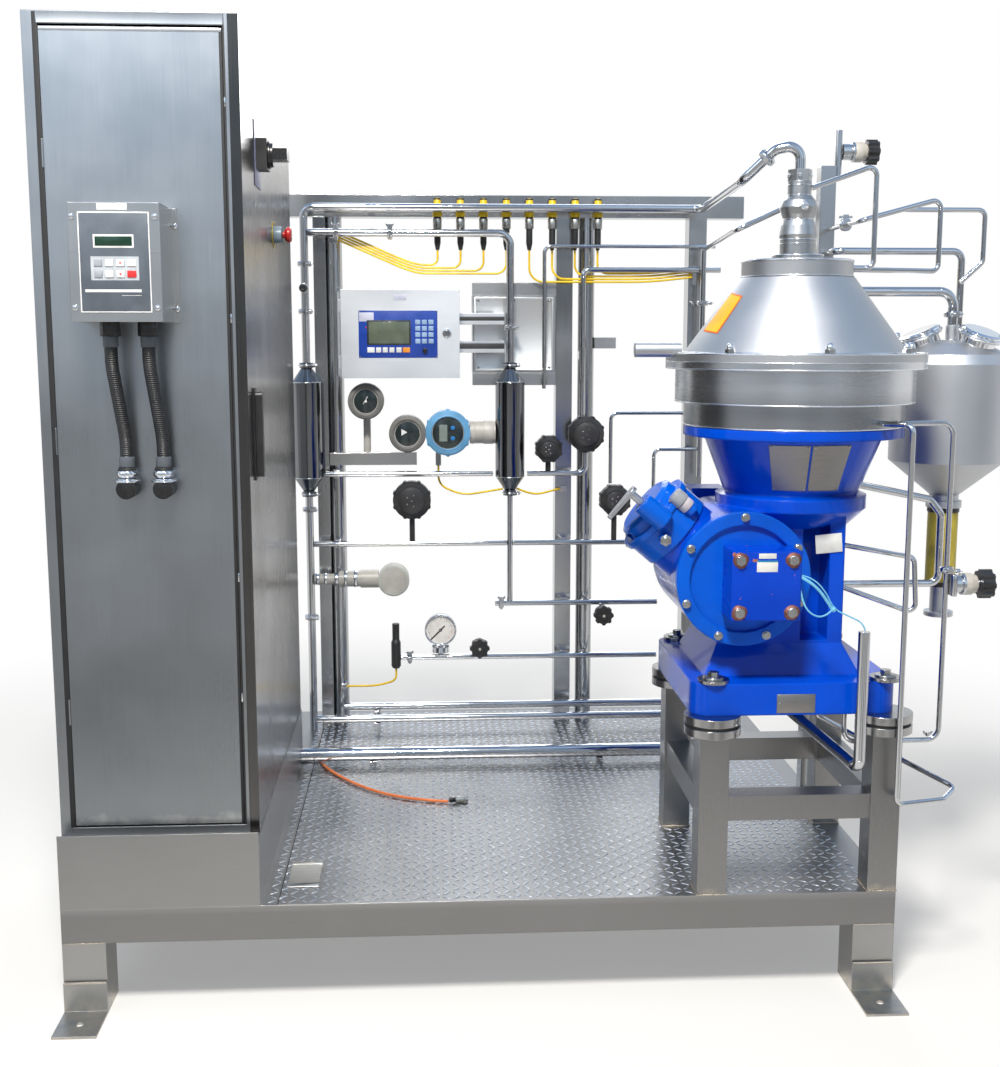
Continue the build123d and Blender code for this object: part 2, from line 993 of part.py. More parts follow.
def drive_box():
    w, h = drive_box_w / 2, drive_box_h / 2
    y_back = cab_y0 - drive_flange_t
    y_face = y_back - drive_box_d
    plate = block(drive_box_x - w - drive_flange_over, drive_box_x + w + drive_flange_over,
                  y_back, cab_y0, drive_box_z - h, drive_box_z + h)
    body = block(drive_box_x - w, drive_box_x + w, y_face, y_back, drive_box_z - h, drive_box_z + h)
    kw, kh = keypad_w / 2, keypad_h / 2
    pad = block(drive_box_x - kw, drive_box_x + kw, y_face - keypad_rise, y_face,
                drive_box_z - kh, drive_box_z + kh)
    keys = []
    y_key = y_face - keypad_rise
    for row in (-0.5, 0.5):
        for column in (-1.5, -0.5, 0.5, 1.5):
            x = drive_box_x + column * key_pitch
            z = drive_box_z + key_rows_z + row * key_pitch
            keys.append(block(x - key_size / 2, x + key_size / 2, y_key - key_rise, y_key,
                              z - key_size / 2, z + key_size / 2))
    return [plate, body, pad] + keys


def drive_conduits():
    pieces = []
    z_box = drive_box_z - drive_box_h / 2
    y_top = cab_y0 - drive_flange_t - conduit_out
    y_low = cab_y0 - elbow_out
    for side in (-0.5, 0.5):
        x_top = drive_box_x + side * conduit_spread + conduit_lean
        x_low = x_top + conduit_shift
        z = z_box - gland_length
        pieces.append(disc_about(x_top, y_top, z, z_box, gland_r))
        pieces.append(disc_about(x_top, y_top, z - sleeve_length, z, sleeve_r))
        z_bulb = elbow_z + elbow_r
        z_low = z_bulb + bulb_length + sleeve_length
        z_high = z - sleeve_length
        pieces += tube_line([(x_top, y_top, z_high), (x_top, y_top, z_high - conduit_run),
                             (x_low, y_low, z_low + conduit_run), (x_low, y_low, z_low)],
                            conduit_r, conduit_bend)
        pieces.append(disc_about(x_low, y_low, z_bulb + bulb_length, z_low, sleeve_r))
        r_end = bulb_r - bulb_taper
        pieces.append(turned([(0, z_bulb), (r_end, z_bulb), (bulb_r, z_bulb + bulb_length / 2),
                              (r_end, z_bulb + bulb_length), (0, z_bulb + bulb_length)], x_low, y_low))
        pieces.append(rod((x_low, cab_y0, elbow_z), (x_low, y_low - elbow_r, elbow_z), elbow_r))
    return pieces


def switchgear():
    x = cab_x0 + cabinet_sheet + clear
    z0, z1 = cab_z0 + plate_margin, cab_z1 - plate_margin
    plate = block(x, x + plate_thickness, cab_y0 + plate_margin, cab_y1 - plate_margin, z0, z1)
    pieces = [plate]
    x_gear = x + plate_thickness
    y_start = cab_y0 + plate_margin + gear_pitch / 2
    for z in gear_row_z:
        for n in range(gear_count):
            y = y_start + n * gear_pitch
            pieces.append(block(x_gear, x_gear + gear_depth, y, y + gear_width, z, z + gear_row_h))
    return pieces


# Separator stand and feet

def stand_frame():
    pieces = []
    half = stand_post / 2
    for x in stand_posts_x:
        for y in stand_posts_y:
            pieces.append(block(x - half, x + half, y - half, y + half, deck_top, stand_top))
    x_in0, x_in1 = stand_posts_x[0] + half, stand_posts_x[1] - half
    y_in0, y_in1 = stand_posts_y[0] + half, stand_posts_y[1] - half
    rail = stand_rail / 2
    for y in stand_posts_y:
        pieces.append(block(x_in0, x_in1, y - rail, y + rail, stand_rail_z, stand_rail_z + stand_rail))
    for x in stand_posts_x:
        pieces.append(block(x - rail, x + rail, y_in0, y_in1, stand_rail_z, stand_rail_z + stand_rail))
    return pieces


def foot_points():
    return [(x, y) for x in stand_posts_x for y in stand_posts_y]


def pad_plates():
    pieces = []
    for x, y in foot_points():
        pieces.append(disc_about(x, y, stand_top, stand_top + pad_plate, pad_r))
        pieces.append(disc_about(x, y, frame_base_z - pad_plate, frame_base_z, pad_r))
        pieces.append(disc_about(x, y, flange_top, flange_top + washer_thickness, washer_r))
    return pieces


def pad_rubbers():
    z = stand_top + pad_plate
    return [disc_about(x, y, z, z + pad_rubber, pad_rubber_r) for x, y in foot_points()]


# Machine frame

def machine_frame():
    x_mid, y_mid = (flange_left + flange_right) / 2, (flange_front + flange_rear) / 2
    base_sketch = Pos(x_mid, y_mid) * RectangleRounded(flange_right - flange_left,
                                                       flange_rear - flange_front, flange_corner)
    base = Pos(0, 0, frame_base_z) * extrude(base_sketch, amount=flange_thickness)

    cx, cy = (column_left + column_right) / 2, (column_front + column_rear) / 2
    w, d = column_right - column_left, column_rear - column_front
    foot = Pos(cx, cy, flange_top) * Rectangle(w + column_flare, d + column_flare)
    waist = Pos(cx, cy, flange_top + column_flare) * Rectangle(w, d)
    flare = loft([foot, waist])
    column = block(column_left, column_right, column_front, column_rear,
                   flange_top + column_flare, shoulder_z)

    inner_r = casing_top_r - casing_wall
    casing = turned([(0, shoulder_z - 60), (shoulder_r - 62, shoulder_z - 60), (shoulder_r, shoulder_z),
                     (shoulder_r, casing_base_z - 8), (casing_base_r, casing_base_z),
                     (casing_top_r, casing_top_z), (casing_ring_r, ring_z), (casing_ring_r, ring_top),
                     (casing_lower_r - casing_wall, ring_top), (inner_r, casing_top_z),
                     (casing_base_r - casing_wall, casing_base_z + 26), (0, casing_base_z + 26)])
    drum = rod((gear_x, drum_front, gear_z), (gear_x, drum_rear, gear_z), drum_r)

    neck = rod(brake_point(-brake_length), brake_point(-brake_length - brake_neck), brake_r - 4)

    frame = base + flare + column + casing + drum + neck
    frame -= rod((gear_x, drum_front - 1, gear_z), (gear_x, chamber_rear, gear_z), chamber_r)
    frame -= rod((gear_x, chamber_rear - 1, gear_z), (gear_x, chamber_rear + bearing_width, gear_z),
                 bearing_r + clear)
    frame -= rod((gear_x, chamber_rear - 1, gear_z), (gear_x, drum_rear + 1, gear_z), rear_bore_r)
    frame -= disc_about(axis_x, axis_y, spindle_bottom - clear, casing_base_z + 40, spindle_bore_r)

    x_arch = column_right - arch_inner
    arch_r = arch_width / 2
    arch = block(x_arch - arch_width, x_arch, column_front - 1, column_front + arch_depth,
                 arch_bottom, arch_top - arch_r)
    arch += rod((x_arch - arch_r, column_front - 1, arch_top - arch_r),
                (x_arch - arch_r, column_front + arch_depth, arch_top - arch_r), arch_r)
    return [frame - arch]


def gear_cover():
    y0 = drum_front
    recess = cover_thickness - cover_recess
    bore_depth = bearing_width + 8
    profile = [(0, recess), (cover_step_r, recess), (cover_step_r, cover_thickness),
               (cover_r, cover_thickness), (cover_r, 0), (cover_boss_r, 0),
               (cover_boss_r, -cover_boss_depth), (bearing_r + clear, -cover_boss_depth),
               (bearing_r + clear, -cover_boss_depth + bore_depth), (0, -cover_boss_depth + bore_depth)]
    return [turned_along(profile, (gear_x, y0, gear_z), (0, -1, 0))]


def machine_bolts():
    pieces = []
    y = drum_front - cover_thickness
    for degrees in cover_bolt_angles:
        angle = math.radians(degrees)
        x = gear_x + cover_bolt_pcd / 2 * math.cos(angle)
        z = gear_z + cover_bolt_pcd / 2 * math.sin(angle)
        pieces.append(hexagon((x, y, z), (0, -1, 0), cover_bolt_r, cover_bolt_head))
    half = block_bolt_spacing / 2
    for sx in (-half, half):
        for sz in (-half, half):
            pieces.append(hexagon((block_x + sx, block_front, block_z + sz), (0, -1, 0),
                                  block_bolt_r, block_bolt_head))
    for x, y in foot_points():
        pieces.append(hexagon((x, y, flange_top + washer_thickness), (0, 0, 1), foot_bolt_r,
                              foot_bolt_head))
    for n in range(hood_nut_count):
        angle = math.radians(-90 + 360 * n / hood_nut_count)
        x = axis_x + hood_nut_pcd / 2 * math.cos(angle)
        y = axis_y + hood_nut_pcd / 2 * math.sin(angle)
        nut = hexagon((x, y, hood_flange_top), (0, 0, 1), hood_nut_r, hood_nut_height / 2)
        plane = Plane((x, y, hood_flange_top + hood_nut_height / 2))
        dome = extrude(plane * RegularPolygon(hood_nut_r * 0.85, 6), amount=hood_nut_height / 2, taper=25)
        pieces.append(nut + dome)
    return pieces


def drive_flange():
    half = block_size / 2
    y_rim = drum_front - cover_thickness
    x0, x1, z0, z1 = block_x - half, block_x + half, block_z - half, block_z + half
    front_part = block(x0, x1, block_front, y_rim - clear, z0, z1)
    seat = block(x0, x1, y_rim - clear, y_rim + cover_recess, z0, z1)
    recess = rod((gear_x, block_front, gear_z), (gear_x, drum_front, gear_z), cover_step_r - clear)
    return [front_part + (seat & recess)]


def brake_axis():
    angle = math.radians(180 - 90 + brake_tilt)
    return math.cos(angle), math.sin(angle)


def brake_point(along, side=0, y=0):
    """Point on the brake's own axis, moved across it and to the front."""
    bx, bz = brake_axis()
    return Vector(brake_x + bx * along + bz * side, brake_y + y, brake_z + bz * along - bx * side)


def brake_housing():
    bx, bz = brake_axis()
    axis = Vector(bx, 0, bz)
    body = rod(brake_point(-brake_length + clear), brake_point(-brake_rim), brake_r)
    rim = rod(brake_point(-brake_rim), brake_point(0), brake_rim_r)
    cap = turned_along([(0, 0), (brake_cap_r, 0), (brake_cap_r - 4, brake_cap_length - 8),
                        (brake_cap_r - 16, brake_cap_length), (0, brake_cap_length)], brake_point(0), axis)
    for n in range(brake_slot_count):
        angle = 360 * (n + 0.5) / brake_slot_count
        spoke = Plane(origin=brake_point(brake_cap_length / 2 - 3), z_dir=axis).rotated((0, 0, angle))
        slot = Pos(brake_cap_r, 0, 0) * Box(2 * brake_slot_depth, brake_slot_w, brake_slot_h)
        cap -= spoke * slot
    boss = rod(brake_point(-brake_rim, 0, -brake_boss_out), brake_point(brake_boss_end, 0, -brake_boss_out),
               brake_boss_r)
    spot = (brake_plug_along, brake_plug_side)
    plug = rod(brake_point(*spot, -brake_r + brake_plug_length),
               brake_point(*spot, -brake_r - brake_plug_length), brake_plug_r)
    filler = rod(brake_point(-brake_rim - brake_filler_length, brake_filler_side, -brake_filler_out),
                 brake_point(-brake_rim, brake_filler_side, -brake_filler_out), brake_filler_r)
    return [body + rim + cap + boss + plug + filler]


def brake_lever():
    bx, bz = brake_axis()
    hub = brake_point(lever_pin_end, 0, -brake_boss_out)
    pin = rod(brake_point(brake_boss_end + clear, 0, -brake_boss_out), hub, lever_pin_r)
    plane = Plane(origin=hub, x_dir=Vector(-bz, 0, bx), z_dir=Vector(bx, 0, bz))
    ends = Circle(lever_palm_r).edges() + (Pos(lever_length, 0) * Circle(lever_end_r)).edges()
    blade = extrude(plane * make_hull(ends), amount=lever_thickness)
    hole = extrude(plane * (Pos(0, lever_palm_r / 2) * Circle(lever_hole_r)), amount=lever_thickness)
    return [pin + (blade - hole)]


# Motor, shaft, wheel and bearings

def motor_body():
    y0 = drum_rear
    flange = rod((gear_x, y0, gear_z), (gear_x, y0 + motor_flange_t, gear_z), motor_flange_r)
    y1 = y0 + motor_flange_t
    plane = Plane(origin=(gear_x, y1, gear_z), z_dir=(0, 1, 0))
    body = extrude(plane * toothed(motor_fin_count, motor_fin_root, motor_body_r, 0.20, 0.10),
                   amount=motor_body_length)
    y2 = y1 + motor_body_length
    fan = rod((gear_x, y2, gear_z), (gear_x, y2 + motor_fan_length, gear_z), motor_fan_r)
    box = block(gear_x - motor_box / 2, gear_x + motor_box / 2, y1 + motor_box / 2, y1 + 1.6 * motor_box,
                gear_z + motor_body_r - motor_box_seat, gear_z + motor_body_r + motor_box_height)
    cavity = rod((gear_x, y0 - 1, gear_z), (gear_x, shaft_rear + clear, gear_z), shaft_r + clear)
    return [flange + body + fan + box - cavity]


def drive_shaft():
    return [rod((gear_x, shaft_front, gear_z), (gear_x, shaft_rear, gear_z), shaft_r)]


def worm_wheel():
    y0 = axis_y - wheel_width / 2
    plane = Plane(origin=(gear_x, y0 + wheel_width, gear_z), z_dir=(0, -1, 0))
    rim = extrude(plane * toothed(wheel_teeth, wheel_root_r, wheel_r, 0.30, 0.16), amount=wheel_width)
    hub = rod((gear_x, axis_y - wheel_hub_width / 2, gear_z),
              (gear_x, axis_y + wheel_hub_width / 2 - 14, gear_z), wheel_hub_r)
    bore = rod((gear_x, axis_y - wheel_hub_width, gear_z), (gear_x, axis_y + wheel_hub_width, gear_z),
               shaft_r + clear / 3)
    return [rim + hub - bore]


def spindle():
    r, w = spindle_r, worm_r
    z0, z1 = gear_z - worm_length / 2, gear_z + worm_length / 2
    return [turned([(0, spindle_bottom), (r, spindle_bottom), (r, z0), (w, z0), (w, z1), (r, z1),
                    (r, spindle_top), (0, spindle_top)])]


def bearing_ring(origin, direction):
    r = (shaft_r if direction[2] == 0 else spindle_r) + run_fit
    return turned_along([(r, 0), (bearing_r, 0), (bearing_r, bearing_width), (r, bearing_width)],
                        origin, direction)


def bearings():
    y_front = drum_front + cover_boss_depth - bearing_width
    return [bearing_ring((gear_x, y_front + bearing_width, gear_z), (0, -1, 0)),
            bearing_ring((gear_x, chamber_rear + bearing_width, gear_z), (0, -1, 0)),
            bearing_ring((axis_x, axis_y, lower_bearing_z + clear), (0, 0, 1)),
            bearing_ring((axis_x, axis_y, upper_bearing_z), (0, 0, 1))]


# Bowl

def cone_z(radius, base_r=distributor_r, base_z=distributor_bottom + distributor_lip):
    """Height on the discs' common cone at a radius."""
    return base_z + (base_r - radius) * math.tan(math.radians(disc_slope))


def bowl_body():
    body = turned([(spindle_r + clear, bowl_bottom), (bowl_hub_r, bowl_bottom),
                   (bowl_foot_r, bowl_bottom + bowl_foot_rise), (bowl_knee_r, bowl_knee_z),
                   (bowl_r, bowl_side_z), (bowl_r, bowl_rim), (bowl_inner_r, bowl_rim),
                   (bowl_inner_r, bowl_seat_z), (bowl_inner_knee_r, bowl_inner_knee_z),
                   (bowl_floor_r, bowl_floor + bowl_floor_rise), (bowl_hub_r, bowl_floor),
                   (bowl_hub_r, bowl_hub_top), (0, bowl_hub_top), (0, spindle_top + clear),
                   (spindle_r + clear, spindle_top + clear)])
    for n in range(port_count):
        port = Pos(bowl_r, 0, port_z + port_height / 2) * Box(2 * (bowl_r - bowl_inner_r) + 10,
                                                             port_width, port_height)
        body -= Pos(axis_x, axis_y, 0) * Rot(0, 0, 360 * n / port_count) * port
    return [body]


def sliding_piston():
    t, gap = piston_thickness, piston_gap
    lift = piston_travel + gap
    rim = bowl_inner_r - clear
    floor = bowl_floor + bowl_floor_rise
    knee_r, knee_z = bowl_inner_knee_r, bowl_inner_knee_z
    return [turned([(bowl_hub_r + clear, bowl_floor + lift), (bowl_floor_r - gap, floor + lift),
                    (knee_r - 2 * gap, knee_z + lift), (rim, bowl_seat_z + 2 * gap + lift),
                    (rim, bowl_seat_z + piston_swell + t),
                    (knee_r - piston_swell, knee_z + piston_swell + t),
                    (bowl_floor_r - 6 * gap, floor + 2 * gap + lift + t),
                    (bowl_hub_r + clear, bowl_floor + lift + t)])]


def distributor():
    z_cone = distributor_bottom + distributor_lip
    body = turned([(0, bowl_hub_top + clear), (bowl_hub_r, bowl_hub_top + clear),
                   (distributor_r, distributor_bottom), (distributor_r, z_cone),
                   (distributor_neck_r, cone_z(distributor_neck_r)), (distributor_neck_r, distributor_top),
                   (distributor_bore_r, distributor_top), (distributor_bore_r, distributor_floor),
                   (0, distributor_floor)])
    for n in range(feed_hole_count):
        angle = math.radians(360 * n / feed_hole_count)
        reach = (axis_x + distributor_r * math.cos(angle), axis_y + distributor_r * math.sin(angle),
                 feed_hole_z)
        body -= rod((axis_x, axis_y, feed_hole_z), reach, feed_hole_r)
    return [body]


def disc_stack():
    inner = distributor_neck_r + clear
    pieces = []
    for n in range(disc_count):
        rise = clear + n * disc_pitch
        low, high = cone_z(disc_r) + rise, cone_z(inner) + rise
        t = disc_thickness
        pieces.append(turned([(disc_r, low), (disc_r, low + t), (inner, high + t), (inner, high)]))
    return pieces


def bowl_top():
    rim = bowl_inner_r - clear
    wall = bowl_top_wall
    inner_rim = bowl_top_r - wall
    throat = bowl_neck_r - wall
    seat = port_z + port_height + clear
    return [turned([(inner_rim, seat), (rim, seat), (rim, bowl_top_z), (bowl_top_r, bowl_top_z),
                    (bowl_neck_r, bowl_neck_z), (bowl_neck_r, bowl_lid_z), (bowl_lid_bore_r, bowl_lid_z),
                    (bowl_lid_bore_r, bowl_lid_z - wall), (throat, bowl_lid_z - wall),
                    (throat, bowl_neck_z - wall / 2), (inner_rim, bowl_top_z - wall / 2)])]


def lock_ring():
    rim = bowl_inner_r + clear
    return [turned([(bowl_r, bowl_rim), (bowl_r, lock_ring_top), (bowl_top_r + 2, lock_ring_top),
                    (bowl_top_r + 2, bowl_top_z), (rim, bowl_top_z), (rim, bowl_rim)])]


def feed_tube():
    inner = feed_tube_r - feed_tube_wall
    z1 = paring_z + paring_thickness
    return [turned([(inner, feed_tube_bottom), (feed_tube_r, feed_tube_bottom), (feed_tube_r, paring_z),
                    (paring_r, paring_z), (paring_r, z1), (sleeve_tube_r, z1), (sleeve_tube_r, hood_cap_z),
                    (inner, hood_cap_z)])]


# Casing and hood

def catcher():
    w = hood_wall + 1
    return [turned([(casing_lower_r, ring_top), (casing_lower_r, casing_step_z),
                    (casing_upper_r, casing_step_z), (casing_upper_r, casing_split_z - casing_flange_t),
                    (casing_flange_r, casing_split_z - casing_flange_t), (casing_flange_r, casing_split_z),
                    (casing_upper_r - w, casing_split_z), (casing_upper_r - w, casing_step_z + w),
                    (casing_lower_r - w, casing_step_z + w), (casing_lower_r - w, ring_top)])]


def hood():
    w = hood_wall
    profile = [(casing_flange_r, casing_split_z), (casing_flange_r, hood_flange_top),
               (hood_base_r, hood_flange_top), (hood_shoulder_r, hood_shoulder_z),
               (hood_cap_r, hood_shoulder_z), (hood_cap_r, hood_cap_z),
               (sleeve_tube_r + clear, hood_cap_z), (sleeve_tube_r + clear, hood_cap_z - w),
               (hood_cap_r - w, hood_cap_z - w), (hood_cap_r - w, hood_shoulder_z - w),
               (hood_base_r - 2 * w, casing_split_z)]
    y = axis_y - speed_sensor_offset
    x_end = axis_x - casing_flange_r - speed_sensor_length
    x_seat = axis_x - casing_flange_r + speed_sensor_sunk
    sensor = rod((x_end, y, speed_sensor_z), (x_seat, y, speed_sensor_z), speed_sensor_r)
    return [turned(profile) + sensor]


def inlet_head():
    z0 = hood_cap_z
    neck = head_neck_r
    bulb = head_bulb_r
    low, mid, high = head_lower_z, head_waist_z, head_upper_z
    body = turned([(0, z0), (head_foot_r, z0), (head_foot_r, z0 + head_foot_h), (neck, z0 + head_foot_h),
                   (neck, low), (bulb, low + 10), (bulb - 4, mid - 14), (head_waist_r, mid),
                   (bulb - 4, mid + 12), (bulb, mid + head_port_rise), (bulb - 6, high - 12),
                   (head_collar_r, high),
                   (head_collar_r, head_nut_z), (0, head_nut_z)])
    nut = hexagon((axis_x, axis_y, head_nut_z), (0, 0, 1), head_nut_r, head_nut_h)
    z_port = mid + head_port_rise
    port = rod((axis_x, axis_y - bulb, z_port), (axis_x, axis_y - bulb - head_port_out, z_port),
               head_port_r)
    return [body, nut, port]


# Rack

def pipe_rack():
    half = rack_post / 2
    y0, y1 = rack_y - half, rack_y + half
    z0 = deck_top
    pieces = [block(rack_left, post_r_x + beam_overhang, y0, y1, rack_beam_z, rack_beam_z + rack_post)]
    for x, w in ((post_a_x, post_a_w), (post_b_x, post_b_w), (post_r_x, post_r_w)):
        pieces.append(block(x - w / 2, x + w / 2, y0, y1, z0, rack_beam_z))
    for x, r in ((post_a_round_x, post_a_round_r), (post_b_round_x, post_b_round_r)):
        pieces.append(disc_about(x, y0 + r + clear, z0, rack_beam_z, r))
    s = tall_post_size / 2
    pieces.append(block(tall_post_x - s, tall_post_x + s, tall_post_y - s, tall_post_y + s,
                        z0, tall_post_top))
    pieces.append(block(instrument_beam_left, instrument_beam_right, y0 - instrument_beam_d, y0,
                        instrument_beam_z, instrument_beam_z + instrument_beam_h))
    rail_right = plug_left + plug_pitch * (plug_count - 1) + 30
    pieces.append(block(plug_left - 30, rail_right, y0 - plug_rail_t, y0,
                        plug_rail_z, plug_rail_z + plug_rail_h))
    return pieces


rings = []
clips = []


def rack_lines():
    y = line_y
    t, m, s = tube_r, medium_tube_r, small_tube_r
    pieces = []
    top = sensor_top + sensor_cone + clamp_length
    low = sensor_bottom - sensor_cone - clamp_length
    ax, ay = axis_x, axis_y

    # Header: up from the left flow sensor, along the beam, forward to the inlet head
    union_low = (ax - 125, ay + 60, header_z - 34)
    union_high = (ax - 58, ay + 14, head_top_z - 12)
    pieces += tube_line([(left_sensor_x, y, top), (left_sensor_x, y, header_z), (header_right, y, header_z),
                         union_low, union_high, (ax, ay, head_top_z), (ax, ay, head_nut_z + head_nut_h)],
                        t, header_bend,
                        clamps=[(left_sensor_x, y, z) for z in left_union_heights]
                        + [between(union_low, union_high, part) for part in (0.24, 0.75)], rings=rings)
    # Second line from the header's riser down to the right flow sensor
    pieces += tube_line([(left_sensor_x + t + clear, y, second_z), (right_sensor_x, y, second_z),
                         (right_sensor_x, y, top)], t, tube_bend,
                        clamps=[(left_sensor_x + 102, y, second_z), (left_sensor_x + 274, y, second_z),
                                (right_sensor_x, y, right_union_z)], rings=rings)
    # Lines below the flow sensors
    pieces += tube_line([(left_sensor_x, y, low), (left_sensor_x, y, deck_top)], t, tube_bend,
                        clamps=[(left_sensor_x, y, z) for z in left_low_union_heights], rings=rings)
    pieces += tube_line([(right_sensor_x, y, low), (right_sensor_x, y, line_680 + m)], m, tube_bend)
    # Horizontal lines across the rack
    z = line_1115
    beside = sensor_r + line_gap
    pieces += tube_line([(left_sensor_x + beside, y, z), (right_sensor_x - beside, y, z)], m, tube_bend)
    x_rise = actuators["tall"][0]
    pieces += tube_line([(right_sensor_x + beside, y, z), (x_rise, y, z), (x_rise, y, z + branch_rise)],
                        m, small_bend)
    cross = m + clear
    pieces += tube_line([(left_sensor_x + t + clear, y, line_884), (right_sensor_x - cross, y, line_884)],
                        m, small_bend)
    pieces += tube_line([(right_sensor_x + cross, y, line_884), (line_end_x, y, line_884)], m, small_bend,
                        clamps=[(line_end_x - 100, y, line_884)], rings=rings)
    x_start = right_sensor_x - 49
    pieces += tube_line([(x_start, y, line_680), (line_end_x, y, line_680)], m, small_bend,
                        clamps=[(x_start + 20, y, line_680)], rings=rings)
    pieces += tube_line([(dosing_x + dosing_r + clear, y, line_498), (line_end_x, y, line_498)],
                        m, small_bend, clamps=[(dosing_x + 46, y, line_498)], rings=rings)
    # Pipes along the deck
    y_lower = y - drain_spacing
    pieces += tube_line([(left_sensor_x + 103, y, drain_z), (drain_end_x, y, drain_z)], t, small_bend)
    pieces += tube_line([(left_sensor_x + t + clear, y_lower, drain_lower_z),
                         (drain_end_x, y_lower, drain_lower_z)], t, small_bend)
    pieces += tube_line([(left + plinth_width + clear, deck_pipe_y, deck_pipe_z),
                         (deck_pipe_end_x, deck_pipe_y, deck_pipe_z)], deck_pipe_r, tube_bend)
    # Small loops on the right of the operator box
    y_a, y_b = y + 14, y + 20.4
    pieces += tube_line([(loop_a_x, y_a, loop_a_bottom), (loop_a_x, y_a, loop_a_z),
                         (drop_x + 40, y_a, loop_a_z)],
                        s, small_bend)
    pieces += tube_line([(loop_b_x, y_b, loop_b_bottom), (loop_b_x, y_b, loop_b_z),
                         (drop_x + 60, y_b, loop_b_z)],
                        m, small_bend)
    # Drop beside the right post, with the loops behind the separator
    pieces += tube_line([(drop_x, y, drop_top), (drop_x, y, drop_bottom)], m, small_bend,
                        clamps=[(drop_x, y, drop_union_z)], rings=rings)
    x_valve, x_meet = actuators["right"][0] - 14, drop_x - m - clear
    pieces += tube_line([(x_valve, y, valve_branch_bottom), (x_valve, y, valve_branch_top),
                         (x_meet, y, valve_branch_top)], s, small_bend)
    x_branch = line_end_x - 18
    pieces += tube_line([(x_branch, y, line_884 + m + clear), (x_branch, y, valve_branch_low),
                         (x_meet, y, valve_branch_low)], s, small_bend)
    # Clips on the posts and the beam, and stand-offs on the deck
    for x, z, r in ((post_a_round_x, line_1115, m), (post_a_round_x, line_884, m), (post_a_x, second_z, t),
                    (post_b_x, line_884, m), (post_b_x, line_680, m), (post_b_x, line_498, m),
                    (left_sensor_x + standoff_offset, header_z, t), (post_b_x + 173, header_z, t),
                    (post_r_x - 60, header_z, t), (drop_x, loop_b_clip_z, m)):
        clips.append(clip(x, z, r))
    clips.append(clip(loop_a_x, loop_a_clip_z, s, y_a))
    clips.append(clip(loop_b_x, loop_b_clip_z, m, y_b, rack_front + 1))
    x_stand, y_deck = left_sensor_x + standoff_offset, deck_pipe_y
    for x, py, z, r in ((x_stand, y, drain_z, t), (line_end_x + 60, y, drain_z, t),
                        (x_stand, y_lower, drain_lower_z, t), (line_end_x + 60, y_lower, drain_lower_z, t),
                        (x_stand, y_deck, deck_pipe_z, deck_pipe_r),
                        (stand_left - 101, y_deck, deck_pipe_z, deck_pipe_r)):
        w, d = clip_width / 2, standoff_depth / 2
        clips.append(block(x - w, x + w, py - d, py + d, deck_top, z - r - clear))
    return pieces


def around(radius, degrees, z):
    """Point at a radius and an angle about the separator's axis."""
    angle = math.radians(degrees)
    return (axis_x + radius * math.cos(angle), axis_y + radius * math.sin(angle), z)


